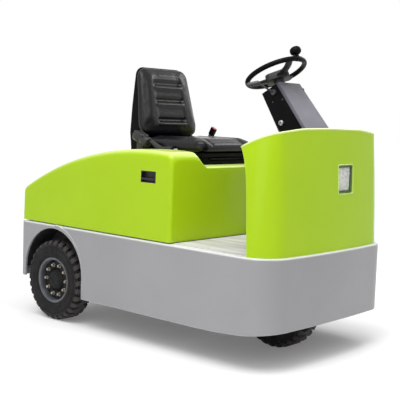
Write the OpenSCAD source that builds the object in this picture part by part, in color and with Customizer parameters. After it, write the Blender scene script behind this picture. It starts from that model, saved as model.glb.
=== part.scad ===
// Three-wheel electric tow tractor with a tilting hood and seat, one steered front wheel
// Millimetres, X forward, Y left, Z up, ground at z = 0, origin under the middle of the bounding box

/* [Body] */
// Overall length from the front skirt to the rear coupling
overall_l = 1936; // [1800:2:2100]
// Overall width over the skirt
body_w = 1086; // [1000:2:1180]
// Height of the deck over the top of the tyres
deck_over = 87.8; // [86:0.2:96]
// Lower edge of the skirt at the sides
skirt_bottom = 160; // [150:2:170]
// Lower edge of the skirt at the front middle
skirt_front_bottom = 193; // [180:1:200]
// Skirt plate thickness
skirt_t = 12; // [10:1:14]
// Rolled top edge radius of the skirt
skirt_roll = 12; // [10:1:14]
// Width of the flange turned in at the skirt top
flange_w = 60; // [56:2:64]
// Plan radius of the front corners
corner_r = 175; // [165:1:190]
// Plan radius of the bowed front
bow_r = 5000; // [4500:100:6000]

/* [Wheels] */
// Tyre outside radius
tyre_r = 228.6; // [215:0.2:245]
// Tyre width
tyre_w = 127; // [120:1:134]
// Front axle behind the front of the body
front_overhang = 341; // [330:1:350]
// Body and coupling behind the rear tyres
rear_overhang = 150; // [146:1:156]
// Clear room between a rear tyre and its arch
arch_gap = 21.4; // [20:0.2:24]
// Radius of the wheel nut circle
nut_circle_r = 86; // [82:1:90]
// Wheel nuts on each rear hub
nut_count = 10; // [8:1:10]

/* [Hood] */
// Front of the body to the front face of the hood
footwell_l = 660; // [640:2:680]
// Hood side set in from the skirt side
hood_inset = 22; // [20:1:24]
// Open seam under the hood
hood_seam = 6; // [6:0.5:9]
// Crest of the hood shoulders over the deck
hood_rise = 466; // [456:1:476]
// Fall from the crest to the tail
tail_drop = 264; // [255:1:275]
// Seat channel floor over the deck
channel_rise = 389; // [384:1:392]
// Panel thickness of the hood
hood_t = 6; // [5:1:7]

/* [Cowl] */
// Inset of the cowl foot from the skirt outline
cowl_foot_inset = 20; // [18:1:24]
// Inset of the cowl rim from the skirt outline
cowl_top_inset = 51; // [47:1:54]
// Outward bulge of the cowl at mid height
cowl_bulge = 3; // [1:1:6]
// Shell thickness of the cowl
cowl_t = 9; // [8:1:10]
// Cowl rim at the middle over the deck
cowl_rise = 609; // [600:1:615]
// Headlamp middle to the left of the vehicle's middle
lamp_y = 100; // [90:1:110]

/* [Steering] */
// Lean of the steering wheel's axis from upright
wheel_lean = 27.5; // [26:0.5:29]
// Steering wheel middle behind the front of the body
steer_back = 429; // [425:1:433]
// Steering wheel middle over the deck
steer_rise = 883; // [880:1:886]
// Steering wheel outside diameter
steer_d = 338; // [330:2:346]
// Rim tube radius
rim_tube_r = 13; // [12:0.5:14]

/* [Seat] */
// Cushion width
seat_w = 470; // [460:2:474]
// Cushion length
seat_l = 450; // [440:2:456]
// Cushion thickness at its crown
cushion_t = 74; // [68:1:76]

/* [Coupling] */
// Tow pin radius
tow_pin_r = 16; // [14:0.5:18]
// Thickness of one coupling jaw
jaw_t = 22; // [20:1:24]
// Free height between coupling jaws
jaw_gap = 46; // [44:1:50]

/* [Hidden] */
$fn = 64;
seat_gap = 0.3;
run_gap = 0.05;
half_l = overall_l / 2;
half_w = body_w / 2;
deck = 2 * tyre_r + deck_over;
lime = [0.70, 0.83, 0.20];
steel_grey = [0.66, 0.66, 0.67];
cover_grey = [0.55, 0.55, 0.58];
black = [0.06, 0.06, 0.06];
dark = [0.12, 0.12, 0.13];
metal = [0.72, 0.72, 0.72];
lens_clear = [0.85, 0.88, 0.90];
lens_red = [0.60, 0.05, 0.05];

// Places along the body
coupling_reach = 96;
rear_plate_t = 20;
rear_face = coupling_reach - half_l;
skirt_rear = rear_face + rear_plate_t;
hood_overhang = 13;
hood_rear = rear_face - hood_overhang;
hood_front = half_l - footwell_l;
front_axle_x = half_l - front_overhang;
rear_axle_x = tyre_r + rear_overhang - half_l;
wheel_set_in = 4;
wheel_y = half_w - wheel_set_in - tyre_w / 2;
skirt_tail_bottom = 224;

// Plan outline of the front: corner circles tangent inside the bow
corner_y = half_w - corner_r;
bow_x = half_l - bow_r;
corner_x = bow_x + sqrt((bow_r - corner_r) * (bow_r - corner_r) - corner_y * corner_y);
bow_half_angle = asin(corner_y / (bow_r - corner_r));

function arc(cx, cy, r, a0, a1, n) = [for (i = [0 : n]) let (a = a0 + (a1 - a0) * i / n)
    [cx + r * cos(a), cy + r * sin(a)]];

// Front outline from the right side to the left side at one inset
function front_line(inset, from, n) = concat(
    arc(corner_x, -corner_y, corner_r - inset, -from, -bow_half_angle, n),
    arc(bow_x, 0, bow_r - inset, -bow_half_angle, bow_half_angle, n),
    arc(corner_x, corner_y, corner_r - inset, bow_half_angle, from, n));

// Skirt: one closed plate section carried along the sides and round the front
skirt_rise = skirt_front_bottom - skirt_bottom;
rise_l = 488;
rise_from = half_l - rise_l;
flange_t = 8;
arch_r = tyre_r + arch_gap;
arch_x = rear_axle_x + 8;
arch_z = tyre_r + 50;
cut_w = 40;
function lower_edge(x) = skirt_bottom + (x > rise_from ? skirt_rise * pow((x - rise_from) / rise_l, 2) : 0);
side_stations = [skirt_rear, rise_from, rise_from + 80, rise_from + 160, rise_from + 230];
function skirt_line(inset) = concat(
    [for (x = side_stations) [x, inset - half_w]],
    front_line(inset, 90, 12),
    [for (i = [0 : len(side_stations) - 1]) [side_stations[len(side_stations) - 1 - i], half_w - inset]]);
skirt_edge = [for (i = [0 : 4]) let (a = 90 * i / 4)
    [skirt_roll - skirt_roll * cos(a), deck - skirt_roll + skirt_roll * sin(a)]];
// Each section entry is an inset and a height; height 0 stands for the lower edge
skirt_section = concat([[0, 0]], skirt_edge,
    [[flange_w, deck], [flange_w, deck - flange_t], [skirt_t, deck - flange_t], [skirt_t, 0]]);

module skirt_plate() {
    lines = [for (e = skirt_section) skirt_line(e[0])];
    outer = skirt_line(0);
    n = len(outer);
    m = len(skirt_section);
    points = [for (j = [0 : n - 1]) for (k = [0 : m - 1])
        [lines[k][j][0], lines[k][j][1],
            skirt_section[k][1] == 0 ? lower_edge(outer[j][0]) : skirt_section[k][1]]];
    walls = [for (j = [0 : n - 2]) for (k = [0 : m - 1]) let (q = (k + 1) % m)
        each [[j * m + k, (j + 1) * m + q, (j + 1) * m + k], [j * m + k, j * m + q, (j + 1) * m + q]]];
    cap = concat([[0, m - 1, m - 2], [0, m - 2, 1]], [for (k = [1 : 4]) [k, m - 2, k + 1]],
        [[5, m - 2, m - 3], [5, m - 3, m - 4]]);
    far = [for (t = cap) [t[0] + (n - 1) * m, t[2] + (n - 1) * m, t[1] + (n - 1) * m]];
    polyhedron(points, concat(walls, cap, far), convexity = 8);
}

module skirt() {
    color(steel_grey)
    difference() {
        skirt_plate();
        for (side = [-1, 1])
            translate([0, side * half_w, 0]) {
                translate([arch_x, 0, arch_z])
                    rotate([90, 0, 0]) cylinder(r = arch_r, h = cut_w, center = true);
                translate([arch_x - arch_r, -cut_w / 2, 0]) cube([2 * arch_r, cut_w, arch_z]);
                translate([skirt_rear - 10, -cut_w / 2, 0])
                    cube([arch_x - skirt_rear, cut_w, skirt_tail_bottom]);
            }
    }
}

// Rear plate closes the body behind the wheels
rear_plate_in = 10;
module rear_plate() {
    color(steel_grey)
        translate([rear_face, rear_plate_in - half_w, skirt_tail_bottom])
            cube([rear_plate_t, body_w - 2 * rear_plate_in, deck - skirt_tail_bottom]);
}

// Frame under the body: two rails, two cross members and the battery tray
rail_y = half_w * 0.424;
rail_w = 60;
rail_h = 100;
rail_z = deck - 215;
rail_top = rail_z + rail_h;
rail_front = hood_front + 72;
tray_t = 10;
cross_h = 60;
cross_z = rail_z + 20;
cross_gap = 4.4;
well_t = 5;
cross_rear = arch_x + sqrt(pow(arch_r + well_t, 2) - pow(cross_z - arch_z, 2)) + cross_gap + rail_w / 2;
battery_front = hood_front - 68;
battery_l = battery_front - cross_rear;
battery_half_w = rail_y + 100;
module chassis_frame() {
    color(dark) {
        for (side = [-1, 1])
            translate([skirt_rear, side * rail_y - rail_w / 2, rail_z])
                cube([rail_front - skirt_rear, rail_w, rail_h]);
        for (x = [cross_rear, hood_front - 58])
            translate([x - rail_w / 2, skirt_t - half_w, cross_z])
                cube([rail_w, body_w - 2 * skirt_t, cross_h]);
        translate([cross_rear - 10, -battery_half_w - 10, rail_top])
            cube([battery_l + 20, 2 * battery_half_w + 20, tray_t]);
    }
}

// Bridge over the front wheel carries the steering head
bridge_t = 16;
bridge_z = deck - 45;
bridge_rear = rail_front - 50;
bridge_front = front_axle_x + 133;
stem_r = 38;
head_r = 95;
module front_bridge() {
    color(dark)
    difference() {
        union() {
            translate([bridge_rear, skirt_t - half_w, bridge_z])
                cube([bridge_front - bridge_rear, body_w - 2 * skirt_t, bridge_t]);
            for (side = [-1, 1])
                translate([bridge_rear, side * rail_y - rail_w / 2, rail_top])
                    cube([50, rail_w, bridge_z - rail_top]);
            translate([front_axle_x, 0, bridge_z - 10]) cylinder(r = head_r, h = 10);
            translate([front_axle_x, 0, bridge_z + bridge_t]) cylinder(r = 62, h = 14);
        }
        translate([front_axle_x, 0, bridge_z - 20]) cylinder(r = stem_r + run_gap, h = 60);
    }
}

// Wheel wells: half barrels behind the arches with an inner wall
well_out = half_w - skirt_t;
well_in = wheel_y - tyre_w / 2 - 25;
module wheel_wells() {
    color(black)
    for (side = [-1, 1])
        translate([arch_x, 0, arch_z])
            rotate([side > 0 ? -90 : 90, 0, 0])
                intersection() {
                    union() {
                        translate([0, 0, well_in])
                            difference() {
                                cylinder(r = arch_r + well_t, h = well_out - well_in);
                                translate([0, 0, -1]) cylinder(r = arch_r, h = well_out - well_in + 2);
                            }
                        translate([0, 0, well_in]) cylinder(r = arch_r + 1, h = well_t);
                    }
                    translate([-2 * arch_r, side > 0 ? -2 * arch_r : 0, 0])
                        cube([4 * arch_r, 2 * arch_r, half_w]);
                }
}

floor_t = 4;
floor_inset = 46;
module floor_plate() {
    color(metal)
        translate([0, 0, deck])
            linear_extrude(floor_t)
                polygon(concat([[hood_front + 8, floor_inset - half_w]], front_line(floor_inset, 90, 12),
                    [[hood_front + 8, half_w - floor_inset]]));
}

battery_h = 400;
module battery() {
    color(dark)
        translate([cross_rear, -battery_half_w, rail_top + tray_t])
            cube([battery_l, 2 * battery_half_w, battery_h]);
}

// Rear axle carries the two rear wheels on fixed spindles
spindle_r = 30;
axle_tube_r = 45;
drive_r = 112;
motor_seat = 120;
motor_r = 100;
hub_in = 40;
module rear_axle() {
    color(dark)
    translate([rear_axle_x, 0, tyre_r]) {
        rotate([90, 0, 0]) cylinder(r = axle_tube_r, h = 2 * (wheel_y - hub_in - 12), center = true);
        rotate([90, 0, 0]) cylinder(r = spindle_r, h = 2 * (wheel_y + 15), center = true);
        sphere(r = drive_r, $fn = 96);
        rotate([0, 90, 0]) cylinder(r = 84, h = motor_seat);
        for (side = [-1, 1])
            translate([-40, side * rail_y - rail_w / 2, 0]) cube([80, rail_w, rail_z - tyre_r]);
    }
}

module traction_motor() {
    color(dark)
    translate([rear_axle_x + motor_seat, 0, tyre_r])
        rotate([0, 90, 0]) {
            cylinder(r = motor_r, h = 160);
            translate([0, 0, 160]) cylinder(r = motor_r - 16, h = 14);
        }
}

// Wheels
rim_r = 122;
flange_r = 131;
barrel_r = 112;
shoulder_r = tyre_r - 9;
tyre_edge = 24;
function tyre_half(w) = [[rim_r, w / 2 - 14], [flange_r + 1, w / 2 - 14], [flange_r + 5, w / 2 - 6],
    [flange_r + 33, w / 2], [tyre_r - 24, w / 2], [shoulder_r, w / 2 - 7], [tyre_r, w / 2 - tyre_edge]];
function tyre_section(w) = let (h = tyre_half(w), n = len(h)) concat(
    [for (p = h) [p[0], -p[1]]], [for (i = [0 : n - 1]) h[n - 1 - i]]);

module tyre(w) {
    color(black) rotate([90, 0, 0]) rotate_extrude($fn = 96) polygon(tyre_section(w));
}

// Dished rim: flanges, barrel, a set-back disc and its wheel nuts; outer side toward -Y
hub_r = 62;
disc_at = 18;
disc_t = 12;
module rim(w) {
    color(dark)
    rotate([90, 0, 0]) {
        rotate_extrude($fn = 96)
            polygon([[rim_r, -w / 2 + 14], [flange_r, -w / 2 + 14], [flange_r, -w / 2 + 6],
                [barrel_r, -w / 2 + 6],
                [barrel_r, disc_at], [hub_r, disc_at], [hub_r, disc_at + disc_t],
                [barrel_r, disc_at + disc_t],
                [barrel_r + 2, w / 2 - 6], [flange_r, w / 2 - 6], [flange_r, w / 2 - 14],
                [rim_r, w / 2 - 14]]);
        for (i = [0 : nut_count - 1])
            rotate([0, 0, (i + 0.5) * 360 / nut_count])
                translate([nut_circle_r, 0, disc_at + disc_t - 2]) cylinder(r = 12, h = 17, $fn = 6);
    }
}

// Hub turns on the spindle and carries the rim
module hub() {
    color(dark)
    rotate([90, 0, 0])
    difference() {
        union() {
            translate([0, 0, -hub_in]) cylinder(r = hub_r, h = hub_in + disc_at + disc_t);
            translate([0, 0, 0]) cylinder(r = 105, h = disc_at);
            translate([0, 0, disc_at + disc_t]) cylinder(r1 = hub_r - 2, r2 = hub_r - 16, h = 16);
        }
        translate([0, 0, -hub_in - 10]) cylinder(r = spindle_r + run_gap, h = hub_in + 27);
    }
}

module at_rear_wheel(side) {
    translate([rear_axle_x, side * wheel_y, tyre_r])
        rotate([0, 0, side < 0 ? 0 : 180]) children();
}
module rear_right_tyre() { at_rear_wheel(-1) tyre(tyre_w); }
module rear_left_tyre() { at_rear_wheel(1) tyre(tyre_w); }
module rear_right_rim() { at_rear_wheel(-1) rim(tyre_w); }
module rear_left_rim() { at_rear_wheel(1) rim(tyre_w); }
module rear_right_hub() { at_rear_wheel(-1) hub(); }
module rear_left_hub() { at_rear_wheel(1) hub(); }

// Front wheel: one rim turning on a fixed shaft in the steering fork
front_shaft_r = 22;
front_hub_r = 50;
web_half_t = 8;
module front_tyre() { translate([front_axle_x, 0, tyre_r]) tyre(tyre_w); }
module front_rim() {
    half = tyre_w / 2;
    barrel = barrel_r - 4;
    color(dark)
    translate([front_axle_x, 0, tyre_r])
        rotate([90, 0, 0])
        difference() {
            rotate_extrude($fn = 96)
                polygon([[barrel, 6 - half], [flange_r, 6 - half], [flange_r, 14 - half], [rim_r, 14 - half],
                    [rim_r, half - 14], [flange_r, half - 14], [flange_r, half - 6], [barrel, half - 6],
                    [barrel, web_half_t], [front_hub_r, web_half_t], [front_hub_r, half - 4],
                    [20, half - 4], [20, 4 - half], [front_hub_r, 4 - half],
                    [front_hub_r, -web_half_t], [barrel, -web_half_t]]);
            cylinder(r = front_shaft_r + run_gap, h = 2 * tyre_w, center = true);
        }
}

// Steering head: crown over the tyre, two arms, a stem in the bridge
crown_gap = 9;
crown_t = 18;
crown_z = 2 * tyre_r + crown_gap;
arm_t = 20;
arm_half = 55;
fork_y = tyre_w / 2 + 25;
module steer_fork() {
    color(dark)
    translate([front_axle_x, 0, 0]) {
        translate([-75, -fork_y - arm_t / 2 - 7, crown_z]) cube([150, 2 * fork_y + arm_t + 14, crown_t]);
        translate([0, 0, crown_z + crown_t]) cylinder(r = stem_r, h = deck - 11 - crown_z - crown_t);
        for (side = [-1, 1])
            translate([0, side * fork_y, tyre_r])
                difference() {
                    union() {
                        translate([-arm_half, -arm_t / 2, 0]) cube([2 * arm_half, arm_t, crown_z - tyre_r]);
                        rotate([90, 0, 0]) cylinder(r = arm_half, h = arm_t, center = true);
                    }
                    rotate([90, 0, 0]) cylinder(r = front_shaft_r, h = 2 * arm_t, center = true);
                }
    }
}

module front_axle_shaft() {
    color(metal)
    translate([front_axle_x, 0, tyre_r])
        rotate([90, 0, 0]) {
            cylinder(r = front_shaft_r, h = 2 * fork_y + arm_t, center = true);
            for (side = [-1, 1])
                translate([0, 0, side * (fork_y + arm_t / 2 + 6)]) cylinder(r = 32, h = 12, center = true);
        }
}

// Hood shell: stations along the body, each a half section mirrored
hood_bottom = deck + hood_seam;
hood_crest = deck + hood_rise;
channel_z = deck + channel_rise;
hood_half_w = half_w - hood_inset;
crest_back = 188;
hood_crest_x = hood_front - crest_back;
tail_l = hood_crest_x - hood_rear;
hood_tail_r = (tail_l * tail_l + tail_drop * tail_drop) / (2 * tail_drop);
hood_edge_r = 34;
hood_front_r = 46;
hood_corner_r = 20;
nose_x = hood_front - 108;
side_lean = 3;
channel_half = seat_w / 2 + 13;
channel_brow = channel_half + 82;
hood_stations = concat(
    [for (i = [0 : 17]) hood_rear + (nose_x - hood_rear) * i / 17],
    [for (i = [1 : 7]) nose_x + (hood_front - nose_x) * sin(90 * i / 7)]);
function hood_arc(x) = hood_crest - hood_tail_r
    + sqrt(hood_tail_r * hood_tail_r - (x - hood_crest_x) * (x - hood_crest_x));
function front_round(x, r) = x < hood_front - r ? 0
    : r - sqrt(max(0, r * r - (x - hood_front + r) * (x - hood_front + r)));
function hood_shoulder(x) = hood_arc(x) - front_round(x, hood_front_r);
function hood_half(x) = hood_half_w - front_round(x, hood_corner_r);
function hood_channel(x) = min(hood_shoulder(x), channel_z - 0.3 * front_round(x, hood_front_r));
function half_section(x, inset) = let (w = hood_half(x) - inset, z = hood_shoulder(x) - inset,
        c = hood_channel(x) - inset, r = hood_edge_r - inset, edge = w - side_lean - 1 - r)
    concat(
        [[w, hood_bottom], [w - side_lean, z - r - 10]],
        [for (i = [0 : 5]) let (a = 90 * i / 5) [edge + r * cos(a), z - r + r * sin(a)]],
        [[(edge + channel_brow) / 2, z + 1], [channel_brow + inset, z],
            [channel_half + 68 + inset, z - 0.12 * (z - c)],
            [channel_half + 22 + inset, z - 0.86 * (z - c)], [channel_half + inset, c]]);
function full_section(x, inset) = let (h = half_section(x, inset), n = len(h)) concat(
    [for (p = h) [-p[0], p[1]]],
    [[0, h[n - 1][1]]],
    [for (i = [0 : n - 1]) h[n - 1 - i]]);
function hood_skin_x(x, inset) = hood_rear + inset
    + (x - hood_rear) * (hood_front - hood_rear - 2 * inset) / (hood_front - hood_rear);

module hood_shell() {
    outer = [for (x = hood_stations) [for (p = full_section(x, 0)) [x, p[0], p[1]]]];
    inner = [for (x = hood_stations)
        [for (p = full_section(x, hood_t)) [hood_skin_x(x, hood_t), p[0], p[1]]]];
    ns = len(outer);
    m = len(outer[0]);
    foot = function (row) [for (p = row) [p[0], p[1], hood_bottom]];
    // Rows: outer skin, inner skin, then the foot lines of the two end walls on each skin
    rows = concat(outer, inner, [foot(outer[0]), foot(outer[ns - 1]), foot(inner[0]), foot(inner[ns - 1])]);
    id = function (r, k) r < 2 * ns ? r * m + k
        : (k == 0 || k == m - 1) ? (r == 2 * ns ? k : r == 2 * ns + 1 ? (ns - 1) * m + k
            : r == 2 * ns + 2 ? ns * m + k : (2 * ns - 1) * m + k)
        : r * m + k;
    quads = function (a, b, k) [[id(a, k), id(b, k), id(b, k + 1)], [id(a, k), id(b, k + 1), id(a, k + 1)]];
    wall = function (a, b, k) k == 0 ? [[id(a, 0), id(b, 1), id(a, 1)]]
        : k == m - 2 ? [[id(a, k), id(b, k), id(a, k + 1)]]
        : quads(a, b, k);
    turn = function (t) [for (f = t) [f[0], f[2], f[1]]];
    skin_out = [for (i = [0 : ns - 2]) for (k = [0 : m - 2]) each turn(quads(i, i + 1, k))];
    skin_in = [for (i = [0 : ns - 2]) for (k = [0 : m - 2]) each quads(ns + i, ns + i + 1, k)];
    walls = [for (k = [0 : m - 2]) each concat(
        wall(0, 2 * ns, k), turn(wall(ns - 1, 2 * ns + 1, k)),
        turn(wall(ns, 2 * ns + 2, k)), wall(2 * ns - 1, 2 * ns + 3, k),
        quads(2 * ns, 2 * ns + 2, k), turn(quads(2 * ns + 1, 2 * ns + 3, k)))];
    sides = [for (i = [0 : ns - 2]) each concat(
        [[i * m, (i + 1) * m, (ns + i + 1) * m], [i * m, (ns + i + 1) * m, (ns + i) * m]],
        turn([[i * m + m - 1, (i + 1) * m + m - 1, (ns + i + 1) * m + m - 1],
            [i * m + m - 1, (ns + i + 1) * m + m - 1, (ns + i) * m + m - 1]]))];
    polyhedron([for (row = rows) each row], concat(skin_out, skin_in, walls, sides), convexity = 8);
}

// Recessed pull handles in the hood sides
handle_l = 107;
handle_h = 60;
handle_deep = 26;
handle_x = hood_front - 166;
handle_z = deck + 298;
handle_face = hood_half_w - 1.8;
cup_t = 4;
bar_z = 14;
module hood() {
    color(lime)
    difference() {
        hood_shell();
        for (side = [-1, 1])
            translate([handle_x, side * hood_half_w, handle_z + handle_h / 2])
                cube([handle_l + 2 * seat_gap, 2 * handle_deep, handle_h + 2 * seat_gap], center = true);
    }
}

module hood_handles() {
    color(black)
    for (side = [-1, 1])
        translate([handle_x, side * handle_face, handle_z])
            rotate([0, 0, side < 0 ? 0 : 180]) {
                difference() {
                    translate([-handle_l / 2, 0, 0]) cube([handle_l, handle_deep, handle_h]);
                    translate([cup_t - handle_l / 2, -1, cup_t])
                        cube([handle_l - 2 * cup_t, handle_deep - cup_t + 1, handle_h - 2 * cup_t]);
                }
                translate([-handle_l / 2, 1, bar_z]) cube([handle_l, 9, 10]);
            }
}

// Hinges at the rear of the hood
hinge_x = hood_rear - 8;
hinge_z = deck + 8;
hinge_r = 8;
hinge_pin_r = 5;
hinge_y = 0.61 * half_w;
hinge_w = 100;
knuckle_w = 28;
leaf_w = 40;
leaf_t = 7;
module hinge_base() {
    color(metal)
    for (side = [-1, 1])
        translate([0, side * hinge_y, 0]) {
            translate([rear_face - 8, -hinge_w / 2, deck - 65]) cube([8, hinge_w, 52]);
            translate([hinge_x, 0, hinge_z])
                rotate([90, 0, 0]) cylinder(r = hinge_pin_r, h = hinge_w, center = true);
            for (s = [-1, 1])
                translate([hinge_x, s * (hinge_w - knuckle_w) / 2, 0]) {
                    translate([0, 0, hinge_z])
                        rotate([90, 0, 0]) cylinder(r = hinge_r, h = knuckle_w, center = true);
                    translate([-4, -knuckle_w / 2, deck - 45]) cube([8, knuckle_w, hinge_z - deck + 45]);
                    translate([-4, -knuckle_w / 2, deck - 45]) cube([rear_face - hinge_x, knuckle_w, 30]);
                }
        }
}

module hinge_leaf() {
    color(metal)
    for (side = [-1, 1])
        translate([0, side * hinge_y, 0])
            difference() {
                union() {
                    translate([hinge_x, 0, hinge_z])
                        rotate([90, 0, 0]) cylinder(r = hinge_r, h = leaf_w, center = true);
                    translate([hood_rear - leaf_t, -leaf_w / 2, hinge_z]) cube([leaf_t, leaf_w, 60]);
                    translate([hood_rear - leaf_t, -hinge_w / 2, hinge_z + 16]) cube([leaf_t, hinge_w, 44]);
                }
                translate([hinge_x, 0, hinge_z])
                    rotate([90, 0, 0]) cylinder(r = hinge_pin_r + run_gap, h = leaf_w + 2, center = true);
            }
}

module rounded_box(x, y, z, r) {
    translate([r, r, 0])
        linear_extrude(z)
            union() {
                translate([0, -r]) square([x - 2 * r, y]);
                translate([-r, 0]) square([x, y - 2 * r]);
                for (i = [0, 1], j = [0, 1]) translate([i * (x - 2 * r), j * (y - 2 * r)]) circle(r);
            }
}

tail_lamp_w = 90;
tail_lamp_h = 46;
tail_lamp_y = half_w - 113;
module tail_lamps() {
    color(lens_red)
    for (side = [-1, 1])
        translate([hood_rear, side * tail_lamp_y - tail_lamp_w / 2, deck + 75])
            rotate([0, -90, 0]) rounded_box(tail_lamp_h, tail_lamp_w, 12, 12);
}

// Seat in its own frame: origin on the channel floor, behind the cushion middle
seat_x = hood_front - 308;
pan_z = 42;
pan_half_w = 215;
cushion_z = pan_z + 18;
cushion_rear = -200;
crown_side_r = 1600;
crown_front_r = 1400;
module seat_at() {
    translate([seat_x, 0, channel_z]) children();
}

module seat_base() {
    rail_half = 22;
    color(black)
    seat_at() {
        translate([-150, -190, 0]) cube([370, 380, 20]);
        for (side = [-1, 1])
            translate([-190, side * 165 - rail_half, 20]) cube([420, 2 * rail_half, pan_z - 20]);
        translate([-190, -pan_half_w, pan_z]) cube([430, 2 * pan_half_w, cushion_z - pan_z]);
        translate([-322, -200, pan_z]) cube([140, 400, cushion_z - pan_z]);
        translate([232, 0, 31]) rotate([90, 0, 0]) cylinder(r = 6, h = 300, center = true);
    }
}

module seat_cushion() {
    top = cushion_z + cushion_t;
    color(black)
    seat_at()
        intersection() {
            translate([cushion_rear, -seat_w / 2, cushion_z]) rounded_box(seat_l, seat_w, cushion_t, 45);
            translate([0, 0, top - crown_side_r])
                rotate([0, 90, 0]) cylinder(r = crown_side_r, h = 3 * seat_l, center = true, $fn = 360);
            translate([0, 0, top - crown_front_r])
                rotate([90, 0, 0]) cylinder(r = crown_front_r, h = 2 * seat_w, center = true, $fn = 360);
        }
}

// Backrest: a side view and a front view meet in one tapered pad
back_top = 526;
pad_side = [[-178, 152], [-262, 506], [-272, 521], [-288, back_top], [-304, 518], [-240, 140], [-188, 142]];
pad_half = [[212, 130], [222, 200], [209, 303], [196, 407], [188, 466]];
pad_round = 60;
shell_out = [[-206, 60], [-206, 130], [-240.6, 139.5], [-304.5, 518.5], [-310, 524], [-318, 516],
    [-322, 60]];
shell_in = [[-212, 50], [-212, 124], [-246.5, 134.5], [-297, 436], [-311, 440], [-316, 50]];
shell_half = [[206, 50], [217, 150], [206, 300], [192, 440], [188, 474]];
shell_round = 50;
hollow_half = [[200, 40], [211, 150], [200, 300], [186, 440], [182, 468]];
function both_sides(half) = let (n = len(half)) concat(half,
    [for (i = [0 : n - 1]) [-half[n - 1 - i][0], half[n - 1 - i][1]]]);
module front_view(half, round_r) {
    tip = half[len(half) - 1];
    translate([-250, 0, 0])
        rotate([90, 0, 90])
            linear_extrude(300, center = true)
                union() {
                    polygon(both_sides(half));
                    for (s = [-1, 1]) translate([s * (tip[0] - round_r), tip[1]]) circle(round_r);
                    translate([round_r - tip[0], tip[1] - 1]) square([2 * (tip[0] - round_r), round_r + 1]);
                }
}
module side_view(points) {
    rotate([90, 0, 0]) linear_extrude(2 * half_w, center = true) polygon(points);
}

module seat_back() {
    color(black)
    seat_at()
        intersection() {
            side_view(pad_side);
            front_view(pad_half, pad_round);
        }
}

module seat_back_shell() {
    color(dark)
    seat_at()
        difference() {
            intersection() {
                side_view(shell_out);
                front_view(shell_half, shell_round);
            }
            intersection() {
                side_view(shell_in);
                front_view(hollow_half, shell_round - 6);
            }
        }
}

// Belt reel on the right and buckle stalk on the left of the seat pan
belt_foot = pan_half_w + seat_gap;
reel_r = 30;
reel_l = 114;
reel_tilt = 22.7;
reel_y = belt_foot + 51;
bracket_l = 46;
bracket_w = 36;
module belt_retractor() {
    color(dark)
    seat_at() {
        translate([-218, -reel_y, 143]) rotate([0, 90 + reel_tilt, 0]) cylinder(r = reel_r, h = reel_l);
        translate([-190, -reel_y - bracket_w / 2, pan_z + 4]) cube([bracket_l, bracket_w, 66]);
        translate([-190, -reel_y - bracket_w / 2, pan_z + 4])
            cube([bracket_l, reel_y + bracket_w / 2 - belt_foot, 12]);
    }
}

module belt_buckle() {
    stalk_y = 244;
    stalk_t = 10;
    color(dark)
    seat_at() {
        translate([0, stalk_y + stalk_t, 0])
            rotate([90, 0, 0])
                linear_extrude(stalk_t) polygon([[-182, 46], [-156, 46], [-98, 150], [-118, 160]]);
        translate([-108, stalk_y - 5, 148]) rotate([0, 29, 0]) translate([-17, 0, 0]) cube([34, 20, 44]);
        translate([-182, belt_foot, pan_z + 4]) cube([26, stalk_y + stalk_t - belt_foot, 12]);
    }
}

// Cowl: closed wall section carried round the front outline
cowl_from = 81;
cowl_line_n = 9;
cowl_rows = 10;
cowl_stations = 3 * (cowl_line_n + 1);
cowl_top = deck + cowl_rise;
rim_fall = 62;
rim_reach = corner_r - 22;
sweep_low = 40;
sweep_high = 36;
function cowl_sweep(j) = let (e = min(j, cowl_stations - 1 - j)) pow(max(0, 1 - e / 7), 2);
function cowl_inset(t) =
    cowl_foot_inset + (cowl_top_inset - cowl_foot_inset) * t - cowl_bulge * sin(180 * t);
function cowl_rim(j) = let (
        p = front_line(cowl_top_inset, cowl_from, cowl_line_n)[j],
        x = p[0] - cowl_sweep(j) * (sweep_low + sweep_high))
    cowl_top - rim_fall * pow(max(0, half_l - cowl_top_inset + 21 - x) / rim_reach, 1.3);
function cowl_point(j, t, deep) = let (p = front_line(cowl_inset(t) + deep, cowl_from, cowl_line_n)[j])
    [p[0] - cowl_sweep(j) * (sweep_low * t + sweep_high * pow(t, 6)), p[1], deck + t * (cowl_rim(j) - deck)];
function cowl_ring(j) = concat(
    [for (k = [0 : cowl_rows]) cowl_point(j, k / cowl_rows, 0)],
    [for (k = [0 : cowl_rows]) cowl_point(j, 1 - k / cowl_rows, cowl_t)]);

// Headlamp recess in the cowl front
lamp_z = deck + 355;
lamp_w = 136;
lamp_h = 144;
lens_w = 106;
lens_h = 102;
lens_t = 10;
lens_x = half_l - 66;
module cowl() {
    m = 2 * (cowl_rows + 1);
    rings = [for (j = [0 : cowl_stations - 1]) cowl_ring(j)];
    body = [for (j = [0 : cowl_stations - 2]) for (k = [0 : m - 1]) let (n = (k + 1) % m)
        each [[j * m + k, (j + 1) * m + n, (j + 1) * m + k], [j * m + k, j * m + n, (j + 1) * m + n]]];
    last = (cowl_stations - 1) * m;
    ends = [for (k = [0 : cowl_rows - 1]) each [
        [k, m - 1 - k, k + 1], [k + 1, m - 1 - k, m - 2 - k],
        [last + k, last + k + 1, last + m - 1 - k], [last + k + 1, last + m - 2 - k, last + m - 1 - k]]];
    color(lime)
    difference() {
        polyhedron([for (r = rings) each r], concat(body, ends), convexity = 6);
        translate([half_l - 90, lamp_y - lamp_w / 2, lamp_z - lamp_h / 2]) cube([90, lamp_w, lamp_h]);
    }
}

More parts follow.
